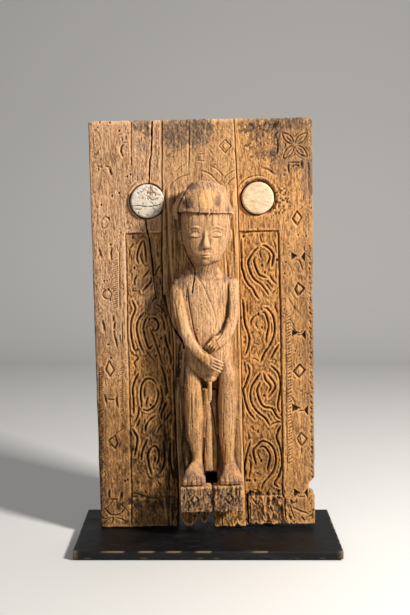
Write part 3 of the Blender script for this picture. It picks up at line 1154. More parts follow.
# Each wood is named with its pale, middle, dark and weathered colours.
side_wood = old_wood("side_plank_wood", (242, 192, 144), (196, 144, 98), (88, 50, 26), (122, 98, 82))
middle_wood = old_wood("middle_plank_wood", (236, 186, 134), (190, 140, 90), (80, 46, 24), (104, 86, 76))
figure_wood = old_wood("figure_wood", (246, 196, 146), (202, 148, 98), (94, 54, 30), (122, 100, 94))
batten_wood = old_wood("batten_wood", (170, 128, 86), (138, 98, 62), (80, 52, 30), (128, 112, 94),
                       False, (0.03, 1, 1))
peg_wood = old_wood("peg_wood", (196, 154, 108), (168, 122, 78), (100, 66, 38), (140, 116, 90),
                    False, (1, 0.03, 1))
disc_white = disc_material()
base_black = base_material()
steel_black = metal_material("black_steel", (38, 39, 42), (84, 82, 80), 0.42, 0.3)
screw_metal = metal_material("screw_steel", (150, 148, 144), (104, 96, 86), 0.34, 1.0)
rubber = rubber_material()


def add_plank(name, node, material, slot, left, right, foot, carve, seed):
    points, faces, tones = plank_points(left, right, foot, carve, seed)
    add_piece(name, new_mesh(name, to_world(*points.T), faces), material, "door", slot, [node], *tones)


add_plank("carved_left_plank", "left_plank", side_wood, "side_plank_wood", outer_left,
          lambda z: left_seam(z) - HALF_GAP, plain_foot, carve_left, 100)
add_plank("carved_centre_plank", "centre_plank", middle_wood, "middle_plank_wood",
          lambda z: left_seam(z) + HALF_GAP, lambda z: right_seam(z) - HALF_GAP,
          foot_through(MIDDLE_FOOT), carve_middle, 120)
add_plank("carved_right_plank", "right_plank", side_wood, "side_plank_wood",
          lambda z: right_seam(z) + HALF_GAP, outer_right, foot_through(RIGHT_FOOT), carve_right, 140)


# The figure, built from closed shells that are fused into one skin and then cut.
# Stations give x from the figure's middle, reach out of the strip, z from the soles, half width and
# half depth, in millimetres.

def sweep(stations, steps=6, sides=36, power=2.0):
    """A closed tube through stations."""
    path = curve(stations, steps)
    centre = np.stack([FIGURE_X + path[:, 0], STRIP_Y - path[:, 1], SOLES + path[:, 2]], axis=1)
    along = np.gradient(centre, axis=0)
    along /= np.linalg.norm(along, axis=1)[:, None]
    side = np.cross(along, [0, -1, 0])
    side /= np.maximum(np.linalg.norm(side, axis=1)[:, None], 1e-6)
    out = np.cross(side, along)
    turn = np.linspace(0, 2 * np.pi, sides, endpoint=False)
    cos, sin = np.cos(turn), np.sin(turn)
    cos, sin = (np.sign(v) * np.abs(v) ** (2 / power) for v in (cos, sin))
    ring = (centre[:, None] + side[:, None] * (path[:, 3, None, None] * cos[None, :, None])
            + out[:, None] * (path[:, 4, None, None] * sin[None, :, None]))
    numbers = np.arange(ring.shape[0] * sides).reshape(-1, sides)
    faces = quads(np.hstack([numbers, numbers[:, :1]]))
    return ring.reshape(-1, 3), faces + [numbers[0].tolist(), numbers[-1].tolist()]


def ball(x, reach, z, half_x, half_y, half_z, tilt=0):
    """A closed ellipsoid, turned by tilt degrees in the door's plane."""
    rows, sides = 14, 24
    rise = np.linspace(-np.pi / 2, np.pi / 2, rows)[1:-1, None]
    turn = np.linspace(0, 2 * np.pi, sides, endpoint=False)[None, :]
    px = half_x * np.cos(rise) * np.cos(turn)
    py = half_y * np.cos(rise) * np.sin(turn)
    pz = half_z * np.sin(rise) + 0 * turn
    lean = math.radians(tilt)
    px, pz = px * math.cos(lean) - pz * math.sin(lean), px * math.sin(lean) + pz * math.cos(lean)
    at = np.array([FIGURE_X + x, STRIP_Y - reach, SOLES + z])
    points = np.stack([px, py, pz], axis=-1).reshape(-1, 3) + at
    numbers = np.arange(len(points)).reshape(-1, sides)
    faces = quads(np.hstack([numbers, numbers[:, :1]]))
    return points, faces + [numbers[0].tolist(), numbers[-1].tolist()]


def fuse(shells, voxel):
    """One skin round overlapping closed shells."""
    points, faces, start = [], [], 0
    for shell, shell_faces in shells:
        points.append(shell)
        faces += [[start + i for i in face] for face in shell_faces]
        start += len(shell)
    mesh = new_mesh("shells", np.vstack(points), faces)
    rough = bpy.data.objects.new("shells", mesh)
    bpy.context.scene.collection.objects.link(rough)
    skin = rough.modifiers.new("skin", "REMESH")
    skin.mode = "VOXEL"
    skin.voxel_size = voxel
    fused = bpy.data.meshes.new_from_object(rough.evaluated_get(bpy.context.evaluated_depsgraph_get()))
    bpy.data.objects.remove(rough)
    return fused


def cut_back(mesh, y):
    """Cuts off what lies behind a plane and closes the cut."""
    work = bmesh.new()
    work.from_mesh(mesh)
    geometry = work.verts[:] + work.edges[:] + work.faces[:]
    cut = bmesh.ops.bisect_plane(
        work, geom=geometry, plane_co=(0, y, 0), plane_no=(0, 1, 0), clear_outer=True)
    rim = [e for e in cut["geom_cut"] if isinstance(e, bmesh.types.BMEdge)]
    bmesh.ops.holes_fill(work, edges=rim, sides=0)
    work.to_mesh(mesh)
    work.free()


def hand_fingers(knuckles, tips, thick):
    """Fingers side by side from a row of knuckles to a row of tips."""
    fingers = []
    for (x0, r0, z0), (x1, r1, z1) in zip(knuckles, tips):
        bend = ((x0 + x1) / 2, (r0 + r1) / 2 + 2, (z0 + z1) / 2 + 0.5)
        slim = thick * 0.8
        fingers.append(sweep([(x0, r0, z0, thick, thick), (*bend, thick, thick), (x1, r1, z1, slim, slim)]))
        fingers.append(ball(x1, r1, z1, thick * 0.9, thick * 0.9, thick * 0.9))
    return fingers


# Knuckles and tips of the two hands.
LOWER_HAND = (
    [(5.5, 62, 259.5), (3.5, 62.5, 254), (1.5, 62.5, 248.5), (0, 62, 243.5)],
    [(28.5, 59, 249), (28.5, 59.5, 242.5), (26.5, 59.5, 236), (22.5, 59, 230)],
)
UPPER_HAND = (
    [(4, 61.5, 290), (8.5, 61.8, 287), (13, 61.8, 284), (17.5, 61, 281)],
    [(-3, 60, 281.5), (2, 60.3, 278.5), (7, 60.3, 275.5), (11.5, 59.8, 273)],
)


TRUNK = [
    (3, 12, 206, 10, 18), (3, 12, 214, 20, 26), (2, 13, 226, 38, 31), (1, 14, 240, 47, 34),
    (0.5, 15, 268, 47.5, 34), (-1, 16, 305, 46, 33), (-3, 16, 350, 51, 31), (-5, 15, 385, 60, 29),
    (-6, 14, 402, 62, 27), (-6, 13, 413, 58, 25), (-5, 13, 424, 48, 23), (-4, 14, 434, 32, 21),
    (-4, 16, 442, 22, 19),
]
NECK = [(-4, 16, 422, 30, 24), (-4, 20, 434, 25, 24), (-3, 25, 446, 23, 26), (-2, 29, 458, 30, 30)]
SKULL = [
    (-2, 33, 446, 17, 24), (-2, 33, 453, 27, 30), (-1, 33, 463, 35, 34), (-1, 33, 480, 43, 36),
    (-1, 33, 505, 48, 37), (-1, 33, 530, 49.5, 37), (-1, 33, 552, 49, 36),
]
CAP = [
    (-5.5, 34, 548, 58, 38.5), (-5.3, 34, 551.5, 61.5, 41.5), (-4.5, 35, 557, 60, 41.5),
    (-3.5, 36, 565, 56, 40), (-2, 35, 576, 51, 37), (-0.5, 33, 588, 44.5, 33), (-1, 30, 598, 36, 27),
    (-0.5, 27, 605.5, 23, 18), (0, 26, 610, 8, 8),
]
BRIM_SIDES = [
    [(-59, 25, 556, 8, 22), (-60, 24, 546, 7.5, 18), (-58, 22, 537, 5, 12)],
    [(48, 32, 555, 6.5, 17), (49, 30, 545, 5, 14), (47, 28, 537, 3.5, 10)],
]
# The web of wood left between the legs, in two steps, and what is left beside them.
WEB = [(-4.5, 6, 17, 9.5, 20), (-4.5, 7, 100, 9.5, 20), (-4, 8, 190, 9, 22)]
SLABS = [
    [(7, 3, 16, 8.5, 14), (7.5, 5, 100, 8.5, 16), (8.5, 5, 186, 6.5, 15)],
    [(-47, 2, 2, 9, 22), (-49, 2, 60, 9, 20), (-47, 4, 120, 9, 18), (-46, 4, 190, 9, 20)],
    [(56, 1, 2, 7, 14), (56, 1, 60, 7, 13), (53, 2, 120, 7, 13)],
]
NOSE = [
    (-1, 64, 520, 3.5, 4), (-1, 66, 510, 4.5, 6), (-1, 68.5, 497, 5.5, 7), (-1, 71, 486, 7.5, 7),
    (-1, 69, 480, 6.5, 5),
]
UPPER_LIP = [
    (-12, 65.5, 466, 1.2, 1.6), (-5, 68, 467.6, 1.9, 2.4), (-1, 68.5, 467, 1.8, 2.5),
    (3, 68, 467.6, 1.9, 2.4), (10, 65.5, 466, 1.2, 1.6),
]
LOWER_LIP = [(-9, 66, 463.4, 1.2, 1.8), (-1, 68.2, 461.8, 2.5, 2.7), (7, 66, 463.4, 1.2, 1.8)]
# The arm on the viewer's left crosses low. The other is slimmer, and its hand lies above.
LOWER_ARM = [
    (-59, 16, 402, 12, 18), (-60.5, 18, 390, 15.5, 22), (-58, 22, 362, 15.5, 24),
    (-52.5, 27, 335, 13.5, 23), (-46, 34, 311, 12.5, 20), (-37, 41, 291, 12.5, 17),
    (-24, 47, 274, 12, 15), (-11, 51, 262, 11, 13), (-1, 54, 254, 12, 12), (7, 55, 248, 12.5, 10),
]
UPPER_ARM = [
    (50, 15, 404, 13, 18), (52, 18, 388, 13, 22), (52, 22, 362, 12, 24), (49.5, 27, 340, 12, 23),
    (44, 35, 319, 12.5, 20), (34, 43, 302, 12.5, 17), (24, 49, 293, 12, 14), (15, 53, 286, 12, 12),
]
UPPER_PALM = [(21, 52, 297, 11, 9), (13, 55, 288, 11.5, 9), (6, 55, 278, 11, 8)]
LEFT_LEG = [
    (-31, 6, 248, 14, 20), (-33.5, 10, 226, 15.5, 28), (-33, 12, 200, 18.3, 31), (-32, 14, 165, 19.3, 31),
    (-32.5, 13, 126, 19.3, 29), (-32.3, 13, 98, 19, 27), (-29.5, 14, 72, 14.5, 25),
    (-27, 15, 50, 10.8, 21), (-28, 16, 32, 12, 22), (-31, 18, 8, 18, 24),
]
RIGHT_LEG = [
    (31, 6, 268, 15, 22), (32.5, 10, 244, 16, 30), (35.5, 12, 224, 17, 32), (38.5, 12, 200, 19, 32),
    (37.5, 14, 165, 20, 31), (36, 13, 126, 18.5, 29), (35.2, 13, 98, 17.3, 27), (35.8, 14, 70, 14.5, 25),
    (37.3, 15, 48, 12, 21), (38.5, 16, 32, 13.5, 22), (41, 18, 8, 18, 24),
]
LEFT_TOES, RIGHT_TOES = -34.5, 42
TOE_PITCH = 9.2
GROIN = [(1, 42, 207, 4.6, 5), (1, 42, 188, 4.8, 4.6), (1, 40, 168, 4.2, 3.8)]


def face_shells():
    """Brow, nose, lids and lips on plain proportions."""
    shells = [sweep(NOSE), sweep(UPPER_LIP), sweep(LOWER_LIP)]
    shells += [ball(side * 6 - 1, 67.5, 482, 3.8, 4, 3.4) for side in (-1, 1)]
    for side in (-1, 1):
        middle = side * 21 - 1
        brow = [(side * 6 - 1, 65, 516, 3, 5), (middle, 65, 521.5, 3, 5.5)]
        brow.append((side * 36 - 1, 56, 516, 2.4, 5))
        shells += [sweep(brow), ball(middle, 62.5, 504.5, 12, 7, 6.6)]
    return shells


def leg_shells(leg, toes):
    """A leg, and its foot that spreads to blunt toes."""
    ankle = leg[-2][0]
    instep = [(ankle, 20, 37, 9, 10), ((ankle + toes) / 2, 33, 27, 14, 11), (toes, 49, 16, 20, 10.5),
              (toes, 62, 9, 22, 8), (toes, 70, 6.5, 22, 6)]
    sole = [(toes, 8, 7, 19, 7.5), (toes, 40, 7, 22, 7.5), (toes, 66, 5, 22.5, 5.5)]
    shells = [sweep(leg, power=3), sweep(instep, power=2.7), sweep(sole, power=3)]
    for i in range(5):
        x, reach = toes + TOE_PITCH * (i - 2), 70.5 - abs(i - 2)
        toe = [(x, reach - 18, 11.5, 4.9, 6), (x, reach - 6, 8, 4.9, 6), (x, reach + 2.5, 6, 4.7, 5.6)]
        shells.append(sweep(toe, power=2.8))
    return shells


def figure_shells():
    shells = [
        sweep(TRUNK, power=2.3), sweep(NECK), sweep(SKULL, power=2.3), ball(-2, 50, 454, 15, 15, 10),
        # Ears.
        ball(-50, 22, 500, 6, 9, 15, 6), ball(47, 22, 500, 5, 9, 15, -6),
        # The rounded cap, whose brim hangs lower at the two sides.
        sweep(CAP), *[sweep(side) for side in BRIM_SIDES],
        sweep(WEB, power=3.5), *[sweep(slab, power=3) for slab in SLABS],
    ]
    shells += face_shells()
    # Shoulder, arm, palm and fingers on each side.
    shells += [ball(-56.5, 14, 401, 17, 23, 18), sweep(LOWER_ARM, power=2.9)]
    shells += [ball(6, 55, 247, 13, 10, 13, -30), *hand_fingers(*LOWER_HAND, 2.75)]
    shells += [ball(51, 15, 398, 14, 22, 20), sweep(UPPER_ARM, power=2.9)]
    shells += [sweep(UPPER_PALM, power=3.5, sides=40), *hand_fingers(*UPPER_HAND, 2.9)]
    shells += leg_shells(LEFT_LEG, LEFT_TOES) + leg_shells(RIGHT_LEG, RIGHT_TOES)
    return shells + [ball(2, 32, 214, 14, 13, 10), sweep(GROIN)]


def finger_gaps(knuckles, tips):
    """Lines between neighbouring fingers, from the figure's middle and soles."""
    rows = [np.array(row)[:, [0, 2]] for row in (knuckles, tips)]
    starts, ends = [[0.5 * (row[i] + row[i + 1]) for i in range(3)] for row in rows]
    return [[0.75 * start + 0.25 * end, end] for start, end in zip(starts, ends)]


def toe_gaps(toes):
    """Lines between neighbouring toes, from the figure's middle and soles."""
    places = [toes + TOE_PITCH * (i - 1.5) for i in range(4)]
    return [[(x, 2), (x, 9), (0.97 * x, 17)] for x in places]


# Cracks and grooves over the figure: depth, width and line in pixels.
FIGURE_CRACKS = [
    (4.4, 1.7, [(183, 245), (188, 256.5), (193, 266), (194.6, 271), (194, 279), (192, 293)]),
    (6.0, 1.8, [(187, 188), (182.5, 197), (179, 205), (177.8, 210), (179.8, 217)]),
    (3.5, 1.5, [(211, 405), (214, 420), (217, 440), (219, 460)]),
]
FIGURE_GROOVES = [
    (1.5, 1.4, [(197, 277), (203, 285), (208, 296), (213, 308), (216, 320), (215, 330)]),
    (2.8, 1.6, [(186.7, 286), (189.5, 308), (195, 334), (201, 347), (206, 352)]),
    (3.0, 1.6, [(186, 290), (186.4, 301)]),
    (1.8, 1.8, [(173.5, 297), (178, 322), (183, 345), (184.5, 360)]),
    (1.4, 1.6, [(171.8, 290), (173, 318), (178.5, 342)]),
    (1.0, 0.9, [(191, 400), (192.5, 432), (192, 455)]),
    (1.2, 0.9, [(224, 396), (223, 430), (225, 452)]),
    (1.2, 0.9, [(231, 392), (232.5, 415), (231.5, 436)]),
    (2.8, 1.6, [(228.3, 282), (228.3, 305), (225.5, 322), (219, 336), (216, 339)]),
    (1.7, 1.2, [(206, 420), (205.5, 440), (207, 462)]),
]
FINGER_LINES = toe_gaps(LEFT_TOES) + toe_gaps(RIGHT_TOES)
FINGER_LINES += finger_gaps(*LOWER_HAND) + finger_gaps(*UPPER_HAND)
# The lips' seam and the lids, as lines from the figure's middle and soles.
FACE_LINES = [(1.6, 0.9, [(-12, 464.6), (-5, 465), (-1, 464.4), (3, 465), (10, 464.6)])]
LOWER_LID = [(-12, 502.5), (-6, 500), (0, 499), (6, 500), (12, 502.5)]
UPPER_LID = [(-12.5, 505), (-6, 510.5), (0, 512), (6, 510.5), (12.5, 505)]
for middle in (-22, 20):
    FACE_LINES.append((1.8, 1.0, [(middle + x, z) for x, z in LOWER_LID]))
    FACE_LINES.append((1.2, 1.1, [(middle + x, z) for x, z in UPPER_LID]))

# Soft oval marks on the figure: strength, pixel and half sizes in pixels.
LEFT_MARK, RIGHT_MARK, CROWN = (1, 188, 202.5, 5, 5.6), (1, 217.5, 201, 3.6, 5.6), (1, 207, 199, 8, 9)
GREY_MARKS = [
    (1.1, 181, 282, 10, 5), (1.1, 230, 279, 7, 6), (0.6, 206, 186, 22, 5), (0.6, 229, 206, 5, 7),
    (0.35, 228, 250, 6, 14), (0.4, 224, 418, 7, 5), (0.6, 193, 276, 12, 3),
]
DARK_MARKS = [(0.14, 200, 262, 8, 3.5), (0.35, 203, 386, 2.6, 2), (0.35, 216.5, 386, 2.6, 3)]
SOOTY_MARKS = [(0.2, 181, 281, 10, 4.5), (0.2, 230, 278, 7, 5), (0.1, 176, 308, 8, 30)]
WORN_MARKS = [
    (0.3, 196, 468, 7, 6), (0.18, 206, 310, 14, 26), (0.25, 203, 410, 3, 16), (0.2, 230, 410, 4, 22),
    (0.2, 184, 320, 5, 22),
]
WARM_MARKS = [(0.35, 176, 308, 8, 30), (0.7, 216, 347, 6, 6), (0.6, 204, 357, 6, 5)]


# The grain of its skin: strength in millimetres, sizes across and along, and seed.
FIGURE_GRAIN = [
    (0.34, 2.8, 40, 201), (0.26, 1.8, 14, 202), (0.5, 16, 30, 203), (0.42, 6, 13, 204), (0.26, 3, 4, 208),
]


def on_figure(line):
    """A smooth line given from the figure's middle and soles, in the door's frame."""
    return curve([(FIGURE_X + x, SOLES + z) for x, z in line])


def wide_of(x, y):
    """Goes round the figure, so that grain on its sides isn't drawn out."""
    return x + 0.35 * y


def on_face_of(x, y, z):
    """1 on the face, which keeps a smoother skin, and 0 elsewhere."""
    return np.exp(-((x - 7) / 40) ** 4 - ((z - SOLES - 490) / 48) ** 4) * ramp(-36 - y, 10)


def figure_skin():
    """The figure's shells as one skin, with its lines, grain and flaws, in the door's frame."""
    skin = fuse(figure_shells(), 1.4)
    write_points(skin, relax(read_points(skin), edges_of(skin), 2, 0.5))
    points, normals = read_points(skin), normals_of(skin)
    px, py, pz = points.T
    c = Carving(px, pz)
    c.cracks(FIGURE_CRACKS, FIGURE_FRONT)
    for deep, soft, pixels in FIGURE_GROOVES:
        c.groove(traced(pixels, FIGURE_FRONT), deep, soft)
    c.cut *= np.clip(-normals[:, 1] * 1.6 + 0.35, 0, 1)
    for deep, soft, line in FACE_LINES + [(2.0, 0.9, line) for line in FINGER_LINES]:
        c.groove(on_figure(line), deep, soft)
    wide, on_face = wide_of(px, py), on_face_of(px, py, pz)
    grain = sum(share * noise(wide, pz, *sizes_and_seed) for share, *sizes_and_seed in FIGURE_GRAIN)
    checks = np.clip(noise(wide, pz, 2.4, 46, 205) - 0.52, 0, 1)
    pits = np.clip(noise(wide, pz, 2.6, 3.4, 206) - 0.62, 0, 1)
    scars = np.clip(noise(wide + 0.6 * pz, pz - 0.6 * wide, 2.6, 12, 209) - 0.62, 0, 1)
    flaws = (2.6 * checks + 2.0 * pits + 2.0 * scars) * (1 - 0.8 * on_face)
    inward = c.cut + 0.25 + 0.8 * grain * (1 - 0.65 * on_face) + flaws
    write_points(skin, points - normals * inward[:, None])
    cut_back(skin, STRIP_Y + 2.5)
    return skin


def figure_tones(points):
    """How grey, dirty, warm and worn each point of the figure is."""
    px, py, pz = points.T
    c, above_soles = Carving(px, pz), pz - SOLES
    wavy = 0.25 * noise(px, pz, 4, 5, 210)

    def marks(rows):
        total = 0
        for share, u, v, half_u, half_v in rows:
            x, z = spot(u, v, STAIN_FRONT)
            away = np.hypot((px - x) / (2 * half_u), (pz - z) / (2 * half_v))
            total = total + share * ramp(1 + wavy - away, 0.7)
        return total

    rough_tone = np.clip(0.6 + 0.6 * noise(px, pz, 7, 13, 207) + 0.3 * noise(px, pz, 2.6, 4, 211), 0, 1.4)
    on_cap, below_hips = ramp(above_soles - 549, 3), ramp(215 - above_soles, 30)
    left_mark, right_mark, crown = (marks([mark]) for mark in (LEFT_MARK, RIGHT_MARK, CROWN))
    grey = left_mark * rough_tone + 0.2 * right_mark + rough_tone * (
        marks(GREY_MARKS) + 0.7 * ramp(34 - above_soles, 20) + 0.25 * ramp(200 - above_soles, 90))
    dirt = 0.5 * ramp(py + 18, 18) + 0.3 * ramp(-34 - px, 14) * ramp(STRIP_Y + 44 + py, 30)
    wide = wide_of(px, py)
    streaks = np.clip(noise(wide, pz, 2.8, 38, 212), 0, 1) + np.clip(noise(wide, pz, 9, 26, 213), 0, 1)
    more_in_shade = 0.10 + 0.08 * below_hips + 0.12 * ramp(-34 - px, 20)
    dirt += streaks * more_in_shade * (1 - 0.8 * on_face_of(px, py, pz))
    dirt += 0.55 * left_mark + 0.4 * right_mark + marks(DARK_MARKS)
    dirt += 0.2 * on_cap * (1 - crown) * rough_tone
    dirt += 0.3 * below_hips * ramp(py + 34, 8) * (0.7 + 0.5 * noise(px, pz, 5, 18, 214))
    beside_legs = 0.26 * ramp(-43 - px, 6) + 0.1 * ramp(-8 - px, 8)
    dirt += rough_tone * (below_hips * beside_legs + marks(SOOTY_MARKS))
    # Dirt lies in the cracks and cuts, where they reach the skin in front of a plane.
    lines = [(0.9, half, traced(pixels, FIGURE_FRONT), -12) for _, half, pixels in FIGURE_CRACKS]
    for deep, soft, pixels in FIGURE_GROOVES:
        lines.append((0.16 * deep, soft, traced(pixels, FIGURE_FRONT), -12))
    lines += [(0.5, 0.9, on_figure(line), -55) for line in FINGER_LINES]
    for darkest, half, line, plane in lines:
        dirt = np.maximum(dirt, darkest * near(c.distance(line, 8), half) * (py < plane))
    warm = 0.15 + 0.5 * below_hips + 0.5 * crown + marks(WARM_MARKS)
    return grey, dirt, warm, 0.4 * crown + marks(WORN_MARKS)


def finish_in(mesh, name, node, tones):
    """Moves a mesh from the door's frame into the world and adds it as a piece of the figure's wood."""
    write_points(mesh, to_world(*read_points(mesh).T))
    mesh.shade_smooth()
    add_piece(name, mesh, figure_wood, "door", "figure_wood", [node], *tones)


skin = figure_skin()
finish_in(skin, "carved_figure", "standing_figure", figure_tones(read_points(skin)))


# The pedestal: blocks round the mortise, fused, cracked and pitted.

def block(x0, x1, y0, y1, z0, z1, cell=3.0, round_by=2.0):
    """A closed box of small cells with rounded edges."""
    low, high = np.array([x0, y0, z0], float), np.array([x1, y1, z1], float)
    counts = np.maximum(np.ceil((high - low) / cell).astype(int), 2)
    points, faces, start = [], [], 0
    for axis in range(3):
        a, b = [k for k in range(3) if k != axis]
        for end in (0, 1):
            u = np.linspace(low[a], high[a], counts[a] + 1)
            v = np.linspace(low[b], high[b], counts[b] + 1)
            grid = np.empty((len(u), len(v), 3))
            grid[..., a], grid[..., b] = u[:, None], v[None, :]
            grid[..., axis] = high[axis] if end else low[axis]
            points.append(grid.reshape(-1, 3))
            faces += quads(start + np.arange(grid.size // 3).reshape(len(u), len(v)))
            start += grid.size // 3
    points = np.vstack(points)
    core = np.clip(points, low + round_by, high - round_by)
    away = points - core
    size = np.linalg.norm(away, axis=1)[:, None]
    points = core + away * np.minimum(1, round_by / np.maximum(size, 1e-6))
    return points, faces


CRACK_X = MORTISE_X + 1.3
# The diamonds on its front: the middle in pixels and the half sizes.
PEDESTAL_DIAMONDS = [(194.5, 500.5, 4.2, 4.2), (229, 499, 4.2, 4.7)]


def pedestal_skin():
    """Four blocks with the mortise and the crack between them, and a floor, as one skin."""
    foot, back, front = SOLES - PEDESTAL_TALL, STRIP_Y + 3, PEDESTAL_FRONT
    left, right, half = PEDESTAL_LEFT, PEDESTAL_RIGHT, MORTISE_HALF
    skin = fuse([
        block(left + 1.2, MORTISE_X - half, front + 0.8, back, foot, SOLES - 1.2),
        block(MORTISE_X + half, right - 0.8, front + 0.4, back, foot, SOLES - 0.2),
        block(left + 20, CRACK_X - 1.6, front + 0.9, front + 32, foot + 0.6, SOLES - 1.8),
        block(CRACK_X + 1.4, right - 20, front + 0.4, front + 32, foot, SOLES - 0.3),
        block(MORTISE_X - 20, MORTISE_X + 20, front + 18, back, foot, SOLES - 40),
    ], 1.25)
    write_points(skin, relax(read_points(skin), edges_of(skin), 1, 0.5))
    return skin


def carve_pedestal(skin):
    """Cuts the diamonds and the wear, and returns how dirty the diamonds' lines are."""
    points, normals = read_points(skin), normals_of(skin)
    px, py, pz = points.T
    c = Carving(px, pz)
    for u, v, half_u, half_v in PEDESTAL_DIAMONDS:
        corners = [(u, v - half_v), (u + half_u, v), (u, v + half_v), (u - half_u, v), (u, v - half_v)]
        c.groove(traced(corners, PEDESTAL_FRONT, steps=1), 3.4, 1.5, 0)
        c.pit(*spot(u, v, PEDESTAL_FRONT), 5.5, 6, -1.2)
    facing = np.clip(-normals[:, 1] * 1.5, 0, 1)
    wide = px + 0.4 * py
    rough = 0.6 * noise(wide, pz, 3.4, 9, 301) + 0.6 * noise(wide, pz, 8, 15, 302)
    rough += 0.5 * noise(wide, pz, 2.4, 3.6, 303)
    pits = np.clip(noise(wide, pz, 2.8, 4.6, 304) - 0.35, 0, 1)
    checks = np.clip(noise(wide, pz, 2.6, 24, 305) - 0.42, 0, 1)
    inward = 0.9 + rough + facing * (c.cut - c.lip + c.depth) + 3.4 * pits + 4.0 * checks
    write_points(skin, points - normals * inward[:, None])
    return c.dirt


def pedestal_tones(points, line_dirt):
    """How grey, dirty, warm and worn each point of the pedestal is."""
    px, py, pz = points.T
    upper = ramp(pz - (SOLES - 5), 3)
    edges = np.maximum(ramp(px - 68, 5), 0.7 * ramp(PEDESTAL_LEFT + 5 - px, 4))
    dirt = 0.6 + 0.5 * noise(px, pz, 3.4, 11, 306) + 0.65 * noise(px, pz, 2.4, 4, 308)
    dirt += 0.9 * np.exp(-np.abs(px - CRACK_X) / 1.6) + 0.5 * line_dirt - 0.6 * upper - 0.5 * edges
    return 0.4 + 0.5 * noise(px, pz, 5, 12, 307), 0.8 * dirt, 0.6, 0.35 * np.maximum(upper, edges)


skin = pedestal_skin()
line_dirt = carve_pedestal(skin)
finish_in(skin, "carved_pedestal", "pedestal", pedestal_tones(read_points(skin), line_dirt))


# The two round inlays.

INLAY_FRONT = -10
INLAY_RINGS, INLAY_SIDES, WALL_STEPS = 46, 168, 6
# The left inlay's cracks, and the middle of its brown stain.
INLAY_CRACKS = [
    (2.6, 1.0, [(131, 206.3), (138, 205.6), (147, 206.8), (156, 205.5)]),
    (2.0, 1.2, [(148, 196), (152, 200), (158, 198)]), (1.6, 0.9, [(150, 201), (155, 206), (160, 204)]),
    (1.2, 0.8, [(152, 208), (155, 210), (153.5, 213)]),
]
INLAY_STAIN = (150, 191)
# Its small pits: the first corner of their area, its width and height, and how many there are.
INLAY_PITS = (137, 187, 22, 12, 26)


def wear_left_inlay(c, cx, seed):
    """Cracks, pits and brown stains on the chipped inlay."""
    c.cracks(INLAY_CRACKS, INLAY_FRONT)
    left, top, wide, tall, count = INLAY_PITS
    for k in range(count):
        u, v = left + wide * abs(math.sin(3.1 * k + 1)), top + tall * abs(math.cos(2.3 * k))
        c.pit(*spot(u, v, INLAY_FRONT), 1.0 + 0.8 * abs(math.sin(k)), 1.0 + 0.7 * abs(math.cos(k)), 0.9)
    x, z = spot(*INLAY_STAIN, INLAY_FRONT)
    near_top = np.exp(-((c.x - x) / 15) ** 2 - ((c.z - z) / 10) ** 2)
    spotty = 0.6 * c.noise(3.2, 2.6, seed + 1) + 0.4 * c.noise(1.6, 1.4, seed + 4)
    c.grey += 0.85 * ramp(spotty + 0.75 * near_top - 0.62, 0.35)
    c.grey += 0.5 * near(c.x - cx - 31, 4) * (0.7 + spotty)
    c.depth += 1.6 * ramp(c.noise(5, 4, seed + 5) + 0.8 * near_top - 0.7, 0.3)


def wear_right_inlay(c, cx, cz, seed):
    """Faint streaks and one stain at the top."""
    streaky = noise(c.x + 0.8 * c.z, c.z, 9, 2.2, seed + 1)
    top = np.exp(-((c.x - cx - 4) / 9) ** 2 - ((c.z - cz - 27) / 5) ** 2)
    c.grey += 0.28 * ramp(streaky - 0.35, 0.6) + 0.3 * top


def inlay(name, node, cx, cz, diameter, seed, chipped):
    """A disc with a rounded rim, a slightly domed face and an uneven outline."""
    turn = np.linspace(0, 2 * np.pi, INLAY_SIDES, endpoint=False)[None, :]
    share = np.linspace(0, 1, INLAY_RINGS + 1)[1:, None]
    outline = diameter / 2 - 0.35 + 0.35 * noise_along(turn * 9, 3, seed)
    if chipped:
        broken = (diameter / 2 - 2.2 + 0.5 * np.sin(9 * turn)) / np.maximum(np.cos(turn + 0.12), 0.2)
        outline = np.minimum(outline, broken)
    c = Carving(cx + share * outline * np.cos(turn), cz + share * outline * np.sin(turn))
    if chipped:
        wear_left_inlay(c, cx, seed)
    else:
        wear_right_inlay(c, cx, cz, seed)
    c.depth += 0.15 * c.noise(3, 3, seed + 2) + 0.2 * c.noise(11, 11, seed + 3)
    rim = outline * (1 - share)
    dome = 1.1 * share ** 2 + 4.2 - np.sqrt(np.clip(17.6 - np.clip(4.2 - rim, 0, 4.2) ** 2, 0, None))
    front_y, back_y = FACE_Y + SEAT_DEEP - INLAY_THICK + 0.4, FACE_Y + SEAT_DEEP - 0.1
    face = np.stack([c.x, front_y + dome + c.depth + np.minimum(c.cut, 4) * (share < 0.97), c.z], axis=-1)
    # The wall goes straight back from the rim, and hubs close the middle and the back.
    wall = np.repeat(face[-1:], WALL_STEPS, axis=0)
    wall[..., 1] += (back_y - wall[..., 1]) * np.linspace(0, 1, WALL_STEPS + 1)[1:, None]
    hubs = np.array([[cx, front_y, cz], [cx, back_y, cz]])
    points = np.vstack([face.reshape(-1, 3), wall.reshape(-1, 3), hubs])
    numbers = np.arange((INLAY_RINGS + WALL_STEPS) * INLAY_SIDES).reshape(-1, INLAY_SIDES)
    faces = quads(np.hstack([numbers, numbers[:, :1]]))
    for ring, hub in ((numbers[0], len(points) - 2), (numbers[-1], len(points) - 1)):
        faces += [[int(a), int(b), hub] for a, b in zip(ring, np.roll(ring, -1))]
    grey = np.concatenate([c.grey.ravel(), np.full(wall.size // 3, 0.45), [0, 0]])
    wall_dirt = np.repeat(np.linspace(0.05, 0.6, WALL_STEPS), INLAY_SIDES)
    dirt = np.concatenate([0.75 * c.dirt.ravel(), wall_dirt, [0, 0]])
    mesh = new_mesh(name, to_world(*points.T), faces)
    add_piece(name, mesh, disc_white, "door", "white_disc", [node], grey, dirt, 0 if chipped else 1)


